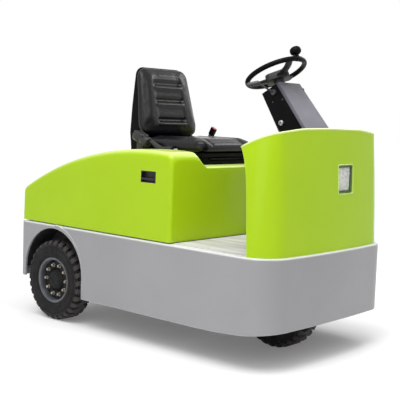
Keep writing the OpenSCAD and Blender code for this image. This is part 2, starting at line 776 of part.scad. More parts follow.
// The housing's recess narrows from the cowl face to the lens
module headlamp_housing() {
    back = lens_t + 8;
    depth = back + 24;
    mouth_w = lamp_w - 8;
    mouth_h = lamp_h - 8;
    color(lime)
    translate([lens_x, lamp_y, lamp_z])
        difference() {
            translate([-back, seat_gap - lamp_w / 2, seat_gap - lamp_h / 2])
                cube([depth, lamp_w - 2 * seat_gap, lamp_h - 2 * seat_gap]);
            intersection() {
                linear_extrude(2 * lamp_h, center = true)
                    polygon([[-lens_t, -lens_w / 2], [0, -lens_w / 2], [25, -mouth_w / 2], [25, mouth_w / 2],
                        [0, lens_w / 2], [-lens_t, lens_w / 2]]);
                rotate([90, 0, 0])
                    linear_extrude(2 * lamp_w, center = true)
                        polygon([[-lens_t, -lens_h / 2], [0, -lens_h / 2], [25, -mouth_h / 2],
                            [25, mouth_h / 2],
                            [0, lens_h / 2], [-lens_t, lens_h / 2]]);
            }
        }
}

module headlamp_lens() {
    color(lens_clear)
        translate([lens_x - lens_t, lamp_y - lens_w / 2 + seat_gap, lamp_z - lens_h / 2 + seat_gap])
            cube([lens_t, lens_w - 2 * seat_gap, lens_h - 2 * seat_gap]);
}

// Inner panels of the cowl
dash_z = deck + 495;
dash_t = 12;
dash_inset = cowl_top_inset + 18;
knee_x = half_l - 172;
knee_low = half_w - cowl_foot_inset - cowl_t - 7;
knee_high = half_w - dash_inset - 8;
module knee_panel() {
    color(dark)
        translate([knee_x, 0, 0])
            rotate([90, 0, 90])
                linear_extrude(8)
                    polygon([[-knee_low, deck + floor_t], [knee_low, deck + floor_t],
                        [knee_high, dash_z], [-knee_high, dash_z]]);
}

module dash_panel() {
    side = [[half_l - 208, half_w - 73], [half_l - 268, half_w - 113]];
    color(dark)
        translate([0, 0, dash_z])
            linear_extrude(dash_t)
                polygon(concat([[side[1][0], -side[1][1]], [side[0][0], -side[0][1]]],
                    front_line(dash_inset, 70, 8), side));
}

// Steering column, measured from the steering wheel's middle
steer_x = half_l - steer_back;
steer_z = deck + steer_rise;
column_foot = dash_z + dash_t - steer_z;
column_top = -48;
column_half_top = 91;
column_half_foot = 110;
cover_t = 18;
cover_line = [[87, column_top], [359, column_foot]];
cover_run = cover_line[1] - cover_line[0];
cover_normal = [-cover_run[1], cover_run[0]] / norm(cover_run);
cover_slope = cover_run[0] / cover_run[1];
inner_top = cover_line[0] - cover_t * cover_normal;
inner_foot = [inner_top[0] + (column_foot - inner_top[1]) * cover_slope, column_foot];
shaft_r = 12;
function column_half(z) = column_half_top
    + (column_half_foot - column_half_top) * (column_top - z) / (column_top - column_foot);
module steer_at() {
    translate([steer_x, 0, steer_z]) children();
}
module wheel_at() {
    steer_at() rotate([0, -wheel_lean, 0]) children();
}
module column_body(side_points, widen) {
    steer_at()
        intersection() {
            side_view(side_points);
            translate([200, 0, 0])
                rotate([90, 0, 90])
                    linear_extrude(600, center = true)
                        polygon([[-column_half_top - widen, column_top],
                            [column_half_top + widen, column_top],
                            [column_half_foot + widen, column_foot],
                            [-column_half_foot - widen, column_foot]]);
        }
}
module column_housing() {
    color(black)
    difference() {
        column_body([[-13, -111], inner_top, inner_foot, [162, column_foot]], 0);
        wheel_at() translate([0, 0, -300]) cylinder(r = shaft_r + run_gap, h = 300);
    }
}
module column_cover() {
    color(cover_grey) column_body([inner_top, cover_line[0], cover_line[1], inner_foot], 3);
}

module rod(from, to, r) {
    run = to - from;
    translate(from)
        rotate([0, acos(run[2] / norm(run)), atan2(run[1], run[0])]) cylinder(r = r, h = norm(run));
}

// Controls on the column sides stand on its tapered faces
key_at = [129, -256];
key_r = 13;
lever_at = [66, -103];
lever_r = 14;
lever_bend = [31, -195, -60];
lever_end = [-4, -222, -72];
tilt_at = [84, -98];
tilt_r = 9;
module key_switch() {
    y = -column_half(key_at[1] - key_r) - 0.1;
    color(metal)
    steer_at()
        translate([key_at[0], y, key_at[1]]) {
            rotate([90, 0, 0]) cylinder(r = key_r, h = 10);
            translate([-1.5, -26, -8]) cube([3, 18, 16]);
        }
}
module direction_lever() {
    y = -column_half(lever_at[1] - lever_r) - 0.1;
    color(dark)
    steer_at() {
        translate([lever_at[0], y, lever_at[1]]) rotate([90, 0, 0]) cylinder(r = lever_r, h = 12);
        rod([lever_at[0], y - 6, lever_at[1]], lever_bend, 5);
        rod(lever_bend, lever_end, 10);
        translate([tilt_at[0], column_half(tilt_at[1] - tilt_r) + 0.1, tilt_at[1]])
            rotate([-90, 0, 0]) cylinder(r = tilt_r, h = 12);
    }
}

pedal_y = [-60, -190];
module pedals() {
    color(black)
    for (y = pedal_y)
        translate([knee_x, y, deck]) {
            translate([-96, -8, 95]) cube([96, 16, 14]);
            translate([-84, -40, 55]) rotate([0, -20, 0]) cube([10, 80, 100]);
        }
}

// Rear coupling with three jaws and a drop pin
jaw_z = deck - 255;
jaw_top = jaw_z + 3 * jaw_t + 2 * jaw_gap;
tow_jaw_r = 40;
tow_x = tow_jaw_r - half_l;
tow_plate_t = 16;
tow_plate_w = 180;
pin_end_r = tow_pin_r - 3;
pin_end_l = 30;
pin_end_z = jaw_z - 4;
module tow_coupling() {
    color(dark)
    difference() {
        union() {
            translate([rear_face - tow_plate_t, -tow_plate_w / 2, jaw_z - 30])
                cube([tow_plate_t, tow_plate_w, jaw_top - jaw_z + 60]);
            for (i = [0 : 2])
                translate([tow_x, 0, jaw_z + i * (jaw_t + jaw_gap)]) {
                    translate([0, -tow_jaw_r, 0])
                        cube([rear_face - tow_plate_t - tow_x, 2 * tow_jaw_r, jaw_t]);
                    cylinder(r = tow_jaw_r, h = jaw_t);
                }
        }
        translate([tow_x, 0, 0]) cylinder(r = tow_pin_r, h = 2 * deck);
    }
}

module tow_pin() {
    color(metal)
    translate([tow_x, 0, 0]) {
        translate([0, 0, pin_end_z]) cylinder(r = tow_pin_r, h = jaw_top - pin_end_z);
        translate([0, 0, pin_end_z - pin_end_l]) cylinder(r = pin_end_r, h = pin_end_l);
        translate([0, 0, jaw_top]) cylinder(r = tow_pin_r + 8, h = 8);
        translate([0, 0, jaw_top + 8]) cylinder(r = 9, h = 40);
        translate([0, 0, jaw_top + 48]) rotate([90, 0, 0]) cylinder(r = 8, h = 90, center = true);
    }
}

// Steering wheel with its shaft, and the spinner knob on its forward rim
ring_r = steer_d / 2 - rim_tube_r;
wheel_turn = 37;
spoke_w = 34;
pad_l = 122;
pad_w = 95;
pad_top = -18;
pad_t = 32;
neck_foot = -78;
shaft_foot = -290;
module steering_wheel() {
    color(black)
    wheel_at() {
        rotate_extrude($fn = 96) translate([ring_r, 0]) circle(rim_tube_r, $fn = 32);
        for (i = [0 : 2])
            rotate([0, 0, wheel_turn + 60 + 120 * i])
                rotate([90, 0, 0])
                    linear_extrude(spoke_w, center = true)
                        polygon([[30, -42], [30, -24], [ring_r - 36, -22], [ring_r - 8, -4],
                            [ring_r + 4, -4],
                            [ring_r + 2, -11], [ring_r - 22, -32], [ring_r - 40, -36]]);
        rotate([0, 0, wheel_turn])
            translate([-pad_l / 2, -pad_w / 2, pad_top - pad_t]) rounded_box(pad_l, pad_w, pad_t, 22);
        translate([0, 0, neck_foot]) cylinder(r = 28, h = pad_top - 10 - neck_foot);
        translate([0, 0, shaft_foot]) cylinder(r = shaft_r, h = pad_top - 10 - shaft_foot);
    }
}
knob_r = 30;
module steering_knob() {
    color(black)
    wheel_at()
        translate([ring_r, 0, rim_tube_r + 0.2])
            rotate_extrude()
                polygon([[0, 0], [9, 0], [9, 10], [18, 12], [knob_r - 3, 20], [knob_r, 30], [knob_r - 2, 42],
                    [knob_r - 9, 50], [0, 54]]);
}

skirt();
rear_plate();
chassis_frame();
front_bridge();
wheel_wells();
floor_plate();
battery();
rear_axle();
traction_motor();
cowl();
knee_panel();
dash_panel();
column_housing();
column_cover();
key_switch();
direction_lever();
pedals();
headlamp_housing();
headlamp_lens();
tow_coupling();
tow_pin();
hinge_base();
hood();
hinge_leaf();
hood_handles();
tail_lamps();
seat_base();
seat_cushion();
seat_back();
seat_back_shell();
belt_retractor();
belt_buckle();
steer_fork();
front_axle_shaft();
front_tyre();
front_rim();
rear_right_tyre();
rear_right_rim();
rear_right_hub();
rear_left_tyre();
rear_left_rim();
rear_left_hub();
steering_wheel();
steering_knob();
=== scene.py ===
import math
import bpy
import bmesh
from mathutils import Matrix, Vector


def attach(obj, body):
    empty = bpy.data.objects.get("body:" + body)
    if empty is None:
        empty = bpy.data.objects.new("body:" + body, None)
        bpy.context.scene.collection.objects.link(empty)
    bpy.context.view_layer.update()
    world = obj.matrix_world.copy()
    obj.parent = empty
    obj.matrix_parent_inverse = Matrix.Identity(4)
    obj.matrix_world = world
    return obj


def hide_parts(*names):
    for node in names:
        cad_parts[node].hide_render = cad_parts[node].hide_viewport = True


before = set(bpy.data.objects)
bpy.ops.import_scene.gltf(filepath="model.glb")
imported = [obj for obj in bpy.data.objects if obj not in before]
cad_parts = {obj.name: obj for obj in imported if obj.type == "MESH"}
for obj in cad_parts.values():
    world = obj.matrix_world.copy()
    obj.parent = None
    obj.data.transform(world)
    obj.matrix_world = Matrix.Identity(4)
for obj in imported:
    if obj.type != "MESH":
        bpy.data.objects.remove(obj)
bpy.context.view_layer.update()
scene = bpy.context.scene
scene.view_settings.view_transform = "Standard"

# Named sizes of the body, in metres and degrees, as in the solid model
HALF_L = 0.968
HALF_W = 0.543
SKIRT_TOP = 0.545
CORNER_R = 0.175
BOW_R = 5.0
TYRE_R = 0.2286
TYRE_W = 0.127
REAR_AXLE_X = -0.5894
FRONT_AXLE_X = 0.627
WHEEL_Y = 0.4755
ARCH_X = REAR_AXLE_X + 0.008
ARCH_R = 0.25
ARCH_Z = TYRE_R + 0.05
TAIL_BOTTOM = 0.224
SEAM_X = -0.498
HANDLE_X = 0.142
HANDLE_Z = 0.873
SEAT_Z = 0.934
STEER = Vector((0.539, 0.0, 1.428))
STEER_LEAN = 27.5
LAMP_Y = 0.1
LAMP_Z = 0.9
LAMP_W = 0.136
LAMP_H = 0.144
SIDES = ((-1, "right"), (1, "left"))


# Short helpers for turns, places and curves
def polar(r, degrees):
    a = math.radians(degrees)
    return r * math.cos(a), r * math.sin(a)


def arc(cx, cy, r, a0, a1, n):
    spokes = [polar(r, a0 + (a1 - a0) * i / n) for i in range(n + 1)]
    return [(cx + x, cy + y) for x, y in spokes]


def moved(x, y, z):
    return Matrix.Translation((x, y, z))


def turned(degrees, axis):
    return Matrix.Rotation(math.radians(degrees), 4, axis)


def facing(at, axis, up="Y"):
    return Matrix.Translation(at) @ Vector(axis).to_track_quat("Z", up).to_matrix().to_4x4()


def ring_points(place, count, r, first, h):
    return [place @ Vector((*polar(r, first + 360 * k / count), h)) for k in range(count)]


def smoothstep(t):
    t = min(1.0, max(0.0, t))
    return t * t * (3 - 2 * t)


def bell(offset, width):
    return math.exp(-(offset / width) ** 2)


def edge_drop(past, r):
    if past < 0:
        return 0.0
    return r - math.sqrt(max(0.0, r * r - past * past))


def along(table, h):
    for (h0, v0), (h1, v1) in zip(table, table[1:]):
        if h <= h1:
            return v0 + (v1 - v0) * (h - h0) / (h1 - h0)
    return table[-1][1]


SIDEWAYS = turned(90, "X")
FORWARD = turned(90, "Z") @ SIDEWAYS

# Materials: every finish has colour variation, roughness variation and bump
NOISE = "ShaderNodeTexNoise"
CELLS = "ShaderNodeTexVoronoi"
EDGE_REACH = 0.004


def feed(tree, socket, value):
    if isinstance(value, bpy.types.NodeSocket):
        tree.links.new(value, socket)
    elif value is not None:
        socket.default_value = value


def fill(tree, target, **inputs):
    for key, value in inputs.items():
        feed(tree, target.inputs[key.replace("_", " ")], value)
    return target


def node(tree, kind, **inputs):
    return fill(tree, tree.nodes.new(kind), **inputs)


def operate(tree, kind, operation, a, b):
    made = node(tree, kind)
    made.operation = operation
    feed(tree, made.inputs[0], a)
    feed(tree, made.inputs[1], b)
    return made.outputs["Value"]


def span(tree, value, start, stop, low=0.0, high=1.0, smooth=False):
    made = node(tree, "ShaderNodeMapRange", Value=value, From_Min=start, From_Max=stop, To_Min=low,
        To_Max=high)
    if smooth:
        made.interpolation_type = "SMOOTHSTEP"
    return made.outputs["Result"]


def texture(tree, kind, scale, detail=3.0, stretch=(1, 1, 1)):
    coords = node(tree, "ShaderNodeTexCoord")
    mapping = node(tree, "ShaderNodeMapping", Vector=coords.outputs["Object"], Scale=stretch)
    tex = node(tree, kind, Vector=mapping.outputs["Vector"], Scale=scale)
    if "Detail" in tex.inputs:
        tex.inputs["Detail"].default_value = detail
    return tex.outputs["Distance" if kind == CELLS else "Fac"]


def ramp(tree, source, dark, light):
    made = node(tree, "ShaderNodeValToRGB", Fac=source)
    for stop, position, colour in zip(made.color_ramp.elements, (0.32, 0.68), (dark, light)):
        stop.position = position
        stop.color = (*colour, 1)
    return made.outputs["Color"]


def blend(tree, factor, under, colour):
    mix = node(tree, "ShaderNodeMix")
    mix.data_type = "RGBA"
    feed(tree, mix.inputs["Factor"], factor)
    feed(tree, mix.inputs[6], under)
    feed(tree, mix.inputs[7], (*colour, 1))
    return mix.outputs[2]


# Mask of rounded edges broken up by noise, used for edge wear and for painted edge highlights
def edge_mask(tree, low, high):
    bevel = node(tree, "ShaderNodeBevel", Radius=EDGE_REACH)
    bevel.samples = 4
    flat = node(tree, "ShaderNodeNewGeometry").outputs["Normal"]
    bend = operate(tree, "ShaderNodeVectorMath", "DOT_PRODUCT", bevel.outputs["Normal"], flat)
    edge_patches = span(tree, texture(tree, NOISE, 90.0, 5.0), low, high)
    return operate(tree, "ShaderNodeMath", "MULTIPLY", span(tree, bend, 0.995, 0.8), edge_patches)


def upright(tree, space):
    coords = node(tree, "ShaderNodeTexCoord")
    return node(tree, "ShaderNodeSeparateXYZ", Vector=coords.outputs[space]).outputs["Z"]


def surface(name, dark, light, bumps, blotch=4.0, rough=(0.3, 0.4), rough_scale=30.0, metallic=0.0,
        specular=0.5, coat=0.0, coat_rough=0.08, edge_wear_and_highlight=None, edge_wear_and_highlight_span=(0.5, 0.7), stretch=(1, 1, 1),
        painted_top_highlight=None):
    mat = bpy.data.materials.new(name)
    mat.use_nodes = True
    tree = mat.node_tree
    colour = ramp(tree, texture(tree, NOISE, blotch, 4.0, stretch), dark, light)
    # Edges blended toward a paler colour: edge wear on most finishes, a painted highlight on the lime paint
    if edge_wear_and_highlight is not None:
        colour = blend(tree, edge_mask(tree, *edge_wear_and_highlight_span), colour, edge_wear_and_highlight)
    # Up-facing surfaces blended toward a paler colour: a painted highlight where the top catches the light
    if painted_top_highlight is not None:
        top_highlight_share = span(tree, upright(tree, "Normal"), 0.25, 0.95, 0.0, 0.8, True)
        colour = blend(tree, top_highlight_share, colour, painted_top_highlight)
    gloss = span(tree, texture(tree, NOISE, rough_scale, 4.0, stretch), 0.3, 0.7, *rough)
    normal = None
    for kind, scale, depth, *grain in bumps:
        height = texture(tree, kind, scale, 3.0, *grain)
        bump = node(tree, "ShaderNodeBump", Strength=1.0, Distance=depth, Height=height, Normal=normal)
        normal = bump.outputs["Normal"]
    fill(tree, tree.nodes["Principled BSDF"], Base_Color=colour, Roughness=gloss, Normal=normal,
        Metallic=metallic, Specular_IOR_Level=specular, Coat_Weight=coat, Coat_Roughness=coat_rough)
    return mat


def overlay(mat, factor, colour):
    socket = mat.node_tree.nodes["Principled BSDF"].inputs["Base Color"]
    under = socket.links[0].from_socket
    mat.node_tree.links.new(blend(mat.node_tree, factor, under, colour), socket)


GLOSS = (NOISE, 260, 0.00012)
GRAIN = [(CELLS, 800, 0.00015)]
COARSE_GRAIN = [(CELLS, 700, 0.00018)]
CAST = [(NOISE, 400, 0.00015)]
LENS = [(CELLS, 260, 0.001)]
WIDE_EDGE_SPAN = (0.3, 0.6)
# Lime paint: its pale edge colour is a painted highlight along rounded edges, and its pale top colour is a
# painted highlight on up-facing surfaces
lime = surface("lime_paint", (0.4, 0.62, 0.006), (0.43, 0.65, 0.012), [GLOSS, (NOISE, 7, 0.0008)],
    blotch=1.6, rough=(0.16, 0.24), rough_scale=60, specular=0.2, edge_wear_and_highlight=(0.74, 0.86, 0.36),
    edge_wear_and_highlight_span=WIDE_EDGE_SPAN, painted_top_highlight=(0.66, 0.8, 0.24))
# A lighter copy of the lime paint: a painted highlight for the cowl rim bead and the headlamp lip
painted_highlight_lime = surface("painted_highlight_lime_paint", (0.58, 0.75, 0.16), (0.64, 0.8, 0.22), [GLOSS], blotch=1.6,
    rough=(0.16, 0.24), rough_scale=60, specular=0.3, painted_top_highlight=(0.8, 0.88, 0.46))
# Grey paint: its pale top colour is a painted highlight on up-facing surfaces
grey_paint = surface("grey_paint", (0.3, 0.297, 0.312), (0.33, 0.327, 0.342), [(NOISE, 420, 0.00015),
    (NOISE, 9, 0.0008)], blotch=2.2, rough=(0.38, 0.5), rough_scale=45, coat=0.15, coat_rough=0.3,
    edge_wear_and_highlight=(0.8, 0.8, 0.81), edge_wear_and_highlight_span=WIDE_EDGE_SPAN, painted_top_highlight=(0.86, 0.86, 0.87))
black_steel = surface("black_steel", (0.01, 0.01, 0.011), (0.022, 0.022, 0.023), [(NOISE, 500, 0.0002)],
    blotch=9, rough=(0.4, 0.6), edge_wear_and_highlight=(0.16, 0.155, 0.15), edge_wear_and_highlight_span=(0.5, 0.75))
battery_case = surface("battery_case", (0.03, 0.034, 0.042), (0.05, 0.054, 0.062), [(NOISE, 350, 0.0002)],
    blotch=6, rough=(0.45, 0.6), edge_wear_and_highlight=(0.14, 0.14, 0.14))
floor_metal = surface("floor_metal", (0.46, 0.44, 0.445), (0.8, 0.78, 0.79),
    [(NOISE, 120, 0.0003, (12, 1, 1)), (NOISE, 14, 0.001)], blotch=5, rough=(0.32, 0.55), rough_scale=18,
    metallic=0.08, stretch=(0.5, 3.0, 1), edge_wear_and_highlight=(0.86, 0.86, 0.86), edge_wear_and_highlight_span=(0.4, 0.6))
black_plastic = surface("black_plastic", (0.002, 0.002, 0.0025), (0.004, 0.0035, 0.0045), COARSE_GRAIN,
    blotch=11, rough=(0.36, 0.48), specular=0.06, edge_wear_and_highlight=(0.03, 0.03, 0.032))
dark_plastic = surface("dark_plastic", (0.03, 0.03, 0.034), (0.055, 0.055, 0.06), GRAIN, blotch=8,
    rough=(0.36, 0.5), edge_wear_and_highlight=(0.2, 0.2, 0.21))
bright_steel = surface("bright_steel", (0.42, 0.42, 0.43), (0.62, 0.62, 0.63), [(NOISE, 300, 0.0001)],
    blotch=22, rough=(0.22, 0.4), metallic=0.9, edge_wear_and_highlight=(0.8, 0.8, 0.8))
brass = surface("brass_nut", (0.3, 0.27, 0.2), (0.5, 0.46, 0.37), [(NOISE, 400, 0.0001)], blotch=40,
    rough=(0.25, 0.45), metallic=0.85, edge_wear_and_highlight=(0.8, 0.74, 0.6))
rubber = surface("tyre_rubber", (0.007, 0.0066, 0.007), (0.016, 0.0152, 0.016), [(NOISE, 380, 0.0004),
    (CELLS, 900, 0.0002)], blotch=14, rough=(0.6, 0.8), specular=0.2, edge_wear_and_highlight=(0.13, 0.122, 0.118),
    edge_wear_and_highlight_span=WIDE_EDGE_SPAN)
rim_paint = surface("rim_paint", (0.004, 0.004, 0.005), (0.01, 0.01, 0.011), CAST, blotch=20,
    rough=(0.35, 0.55), specular=0.15, edge_wear_and_highlight=(0.16, 0.16, 0.17))
flange_paint = surface("flange_paint", (0.07, 0.074, 0.086), (0.115, 0.12, 0.136), CAST, blotch=16,
    rough=(0.3, 0.45), metallic=0.3, edge_wear_and_highlight=(0.42, 0.43, 0.45))
vinyl = surface("seat_vinyl", (0.0025, 0.0023, 0.0032), (0.005, 0.0046, 0.006), [(CELLS, 420, 0.00018),
    (NOISE, 40, 0.0005)], blotch=12, rough=(0.2, 0.28), rough_scale=120, specular=0.3)
hub_plastic = surface("hub_plastic", (0.016, 0.015, 0.016), (0.028, 0.026, 0.028), GRAIN, blotch=9,
    rough=(0.42, 0.55), specular=0.25, edge_wear_and_highlight=(0.09, 0.09, 0.094))
handle_plastic = surface("handle_plastic", (0.016, 0.01, 0.014), (0.03, 0.02, 0.026), COARSE_GRAIN,
    blotch=12, rough=(0.3, 0.42), specular=0.35, edge_wear_and_highlight=(0.12, 0.1, 0.11))
reel_plastic = surface("reel_plastic", (0.018, 0.015, 0.018), (0.03, 0.026, 0.03), COARSE_GRAIN, blotch=9,
    rough=(0.3, 0.42), specular=0.4, edge_wear_and_highlight=(0.16, 0.15, 0.16))
cover_plastic = surface("cover_plastic", (0.03, 0.029, 0.036), (0.042, 0.041, 0.05), GRAIN, blotch=5,
    rough=(0.28, 0.4), specular=0.04, edge_wear_and_highlight=(0.3, 0.3, 0.33), edge_wear_and_highlight_span=WIDE_EDGE_SPAN)
webbing = surface("belt_webbing", (0.012, 0.012, 0.013), (0.03, 0.03, 0.031),
    [(NOISE, 900, 0.0004, (1, 1, 6))], blotch=160, rough=(0.6, 0.75))
tail_red = surface("tail_lens", (0.28, 0.006, 0.006), (0.4, 0.012, 0.01), LENS, blotch=30,
    rough=(0.12, 0.2), coat=0.6)
amber = surface("amber_lens", (0.55, 0.17, 0.01), (0.68, 0.24, 0.02), LENS, blotch=30, rough=(0.12, 0.2),
    coat=0.6)
# Headlamp recess walls: a darker copy of the lime as painted shade, with edges lightened to a painted
# highlight
painted_shade_recess = surface("painted_shade_recess", (0.06, 0.16, 0.012), (0.085, 0.205, 0.02), [GLOSS], blotch=20,
    rough=(0.25, 0.35), specular=0.3, edge_wear_and_highlight=(0.62, 0.8, 0.3))
lamp_silver = surface("lamp_reflector", (0.62, 0.64, 0.6), (0.92, 0.93, 0.9), [(CELLS, 150, 0.004)],
    blotch=90, rough=(0.18, 0.35), metallic=0.12, coat=0.5)

# Lug faces are scuffed paler than the grooves between them
lug_mask = node(rubber.node_tree, "ShaderNodeAttribute")
lug_mask.attribute_name = "tread"
overlay(rubber, lug_mask.outputs["Fac"], (0.062, 0.056, 0.055))

# The column cover is painted paler toward its foot: a painted reflection that lightens downward
cover_tree = cover_plastic.node_tree
painted_reflection_share = span(cover_tree, upright(cover_tree, "Object"), 1.46, 1.18, smooth=True)
overlay(cover_plastic, painted_reflection_share, (0.15, 0.146, 0.175))


# Mesh toolkit: parts are merged into one bmesh and become one piece
def to_mesh(bm, name):
    mesh = bpy.data.meshes.new(name)
    bm.to_mesh(mesh)
    bm.free()
    return mesh


def round_edges(part, edges, radius, segments):
    if radius > 0:
        bmesh.ops.bevel(part, geom=edges, offset=radius, segments=segments, profile=0.5, affect="EDGES",
            clamp_overlap=True)


def skin_rings(part, rings, closed):
    pairs = list(zip(rings, rings[1:]))
    if closed:
        pairs.append((rings[-1], rings[0]))
    steps = max(len(ring) for ring in rings)
    for a, b in pairs:
        for i in range(steps):
            j = (i + 1) % steps
            corners = [a[i % len(a)], a[j % len(a)], b[j % len(b)], b[i % len(b)]]
            unique = list(dict.fromkeys(corners))
            if len(unique) > 2:
                part.faces.new(unique)


class Build:
    def __init__(self):
        self.bm = bmesh.new()

    def take(self, mesh):
        self.bm.from_mesh(mesh)
        bpy.data.meshes.remove(mesh)
        return self

    def merge(self, part, matrix=None):
        if matrix is not None:
            bmesh.ops.transform(part, matrix=matrix, verts=part.verts)
        return self.take(to_mesh(part, "scratch"))

    def box(self, lo, hi, radius, segments=2, matrix=None):
        part = bmesh.new()
        bmesh.ops.create_cube(part, size=1.0)
        for v in part.verts:
            v.co = [a + (c + 0.5) * (b - a) for a, b, c in zip(lo, hi, v.co)]
        round_edges(part, part.edges[:], radius, segments)
        return self.merge(part, matrix)

    def prism(self, outline, depth, radius, segments=2, matrix=None):
        part = bmesh.new()
        low = [part.verts.new((x, y, 0)) for x, y in outline]
        high = [part.verts.new((x, y, depth)) for x, y in outline]
        part.faces.new(low[::-1])
        part.faces.new(high)
        n = len(outline)
        for i in range(n):
            j = (i + 1) % n
            part.faces.new((low[i], low[j], high[j], high[i]))
        bmesh.ops.recalc_face_normals(part, faces=part.faces[:])
        rims = [e for e in part.edges if abs(e.verts[0].co.z - e.verts[1].co.z) < 1e-7]
        round_edges(part, rims, radius, segments)
        return self.merge(part, matrix)

    def revolve(self, profile, steps, matrix, closed=False):
        part = bmesh.new()
        rings = []
        for r, h in profile:
            around = [polar(r, 360 * i / steps) for i in range(steps)] if r > 1e-6 else [(0, 0)]
            rings.append([part.verts.new((x, y, h)) for x, y in around])
        skin_rings(part, rings, closed)
        bmesh.ops.recalc_face_normals(part, faces=part.faces[:])
        return self.merge(part, matrix)

    def tube(self, points, radius, sides, closed=False):
        points = [Vector(p) for p in points]
        part = bmesh.new()
        n = len(points)
        around = [polar(radius, 360 * k / sides) for k in range(sides)]
        rings = []
        side = None
        for i, p in enumerate(points):
            ahead = points[(i + 1) % n] if closed or i + 1 < n else p
            behind = points[i - 1] if closed or i > 0 else p
            tangent = (ahead - behind).normalized()
            if side is None:
                side = tangent.orthogonal().normalized()
            side = (side - tangent * side.dot(tangent)).normalized()
            other = tangent.cross(side)
            rings.append([part.verts.new(p + u * side + v * other) for u, v in around])
        skin_rings(part, rings, closed)
        if not closed:
            part.faces.new(rings[0][::-1])
            part.faces.new(rings[-1])
        bmesh.ops.recalc_face_normals(part, faces=part.faces[:])
        return self.merge(part)

    def hex_bolt(self, at, axis, size, height, washer=True):
        place = facing(at, axis)
        if washer:
            wide = size * 1.15
            self.revolve([(0, 0), (wide, 0), (size * 1.2, 0.0007), (wide, 0.0016), (0, 0.0016)], 24, place)
        hexagon = [polar(size * 0.9, 60 * k) for k in range(6)]
        self.prism(hexagon, height, 0.0009, 1, place @ moved(0, 0, 0.001))
        tip = [(0, 0), (size * 0.45, 0), (size * 0.42, 0.0025), (0, 0.0028)]
        self.revolve(tip, 16, place @ moved(0, 0, height + 0.0005))

    def screw(self, at, axis, size):
        profile = [(1, 0), (1, 0.25), (0.8, 0.55), (0.45, 0.62), (0.4, 0.3), (0, 0.3)]
        self.revolve([(size * r, size * h) for r, h in profile], 24, facing(at, axis))

    def done(self, name, *looks):
        return piece(name, to_mesh(self.bm, name), *looks)


def new_object(name, data):
    obj = bpy.data.objects.new(name, data)
    scene.collection.objects.link(obj)
    return obj


def paint(mesh, material):
    mesh.materials.clear()
    mesh.materials.append(material)


def shade(mesh, sharp):
    mesh.shade_smooth()
    if sharp:
        mesh.set_sharp_from_angle(angle=math.radians(sharp))


def fit(obj, material, body, slot, nodes=(), sharp=40, subdivide=0):
    paint(obj.data, material)
    shade(obj.data, sharp)
    if subdivide:
        smooth = obj.modifiers.new("smooth", "SUBSURF")
        smooth.levels = subdivide
        smooth.render_levels = subdivide
    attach(obj, body)
    if nodes:
        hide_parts(*nodes)
    return obj


def piece(name, mesh, *looks):
    return fit(new_object(name, mesh), *looks)


def grid_mesh(name, rows, close_rows=False, close_columns=False, caps=False):
    mesh = bpy.data.meshes.new(name)
    count, width = len(rows), len(rows[0])
    verts = [p for row in rows for p in row]
    faces = []
    for i in range(count if close_rows else count - 1):
        for k in range(width if close_columns else width - 1):
            a, b = i * width, ((i + 1) % count) * width
            faces.append((a + k, a + (k + 1) % width, b + (k + 1) % width, b + k))
    if caps:
        faces.append(tuple(range(width))[::-1])
        faces.append(tuple((count - 1) * width + k for k in range(width)))
    mesh.from_pydata(verts, [], faces)
    mesh.validate()
    bm = bmesh.new()
    bm.from_mesh(mesh)
    bmesh.ops.remove_doubles(bm, verts=bm.verts[:], dist=1e-6)
    bmesh.ops.recalc_face_normals(bm, faces=bm.faces[:])
    bm.to_mesh(mesh)
    bm.free()
    return mesh


def loft(name, rows):
    return grid_mesh(name, rows, close_columns=True, caps=True)


def baked(obj):
    graph = bpy.context.evaluated_depsgraph_get()
    mesh = bpy.data.meshes.new_from_object(obj.evaluated_get(graph))
    old = obj.data
    obj.modifiers.clear()
    obj.data = mesh
    bpy.data.meshes.remove(old)
    return obj


def thicken(obj, thickness, offset=-1):
    skin = obj.modifiers.new("skin", "SOLIDIFY")
    skin.thickness = thickness
    skin.offset = offset
    return skin


def soften(obj, width, segments, angle):
    edge = obj.modifiers.new("edge", "BEVEL")
    edge.width = width
    edge.segments = segments
    edge.limit_method = "ANGLE"
    edge.angle_limit = math.radians(angle)
    even = obj.modifiers.new("even", "WEIGHTED_NORMAL")
    even.keep_sharp = False


def cut_away(obj, outlines, depth):
    cutter = Build()
    for outline, place in outlines:
        cutter.prism(outline, depth, 0, 1, place @ moved(0, 0, -depth / 2))
    knife = new_object("cut", to_mesh(cutter.bm, "cut"))
    cut = obj.modifiers.new("cut", "BOOLEAN")
    cut.operation = "DIFFERENCE"
    cut.solver = "EXACT"
    cut.object = knife
    bpy.context.view_layer.update()
    finish = obj.data.materials[0]
    baked(obj)
    bpy.data.objects.remove(knife)
    paint(obj.data, finish)


def round_outline(corners, radii, steps=8):
    points = []
    n = len(corners)
    for i, (corner, r) in enumerate(zip(corners, radii)):
        c = Vector(corner)
        a = (Vector(corners[i - 1]) - c).normalized()
        b = (Vector(corners[(i + 1) % n]) - c).normalized()
        half = a.angle(b) / 2
        reach = r / math.tan(half)
        middle = c + (a + b).normalized() * (r / math.sin(half))
        p0, p1 = c + a * reach, c + b * reach
        d0, d1 = p0 - middle, p1 - middle
        turn = d0.angle_signed(d1)
        for k in range(steps + 1):
            t = -turn * k / steps
            cos, sin = math.cos(t), math.sin(t)
            points.append((middle.x + d0.x * cos - d0.y * sin, middle.y + d0.x * sin + d0.y * cos))
    return points


def rounded_rectangle(w, h, r):
    return round_outline([(-w / 2, -h / 2), (w / 2, -h / 2), (w / 2, h / 2), (-w / 2, h / 2)], [r] * 4, 6)


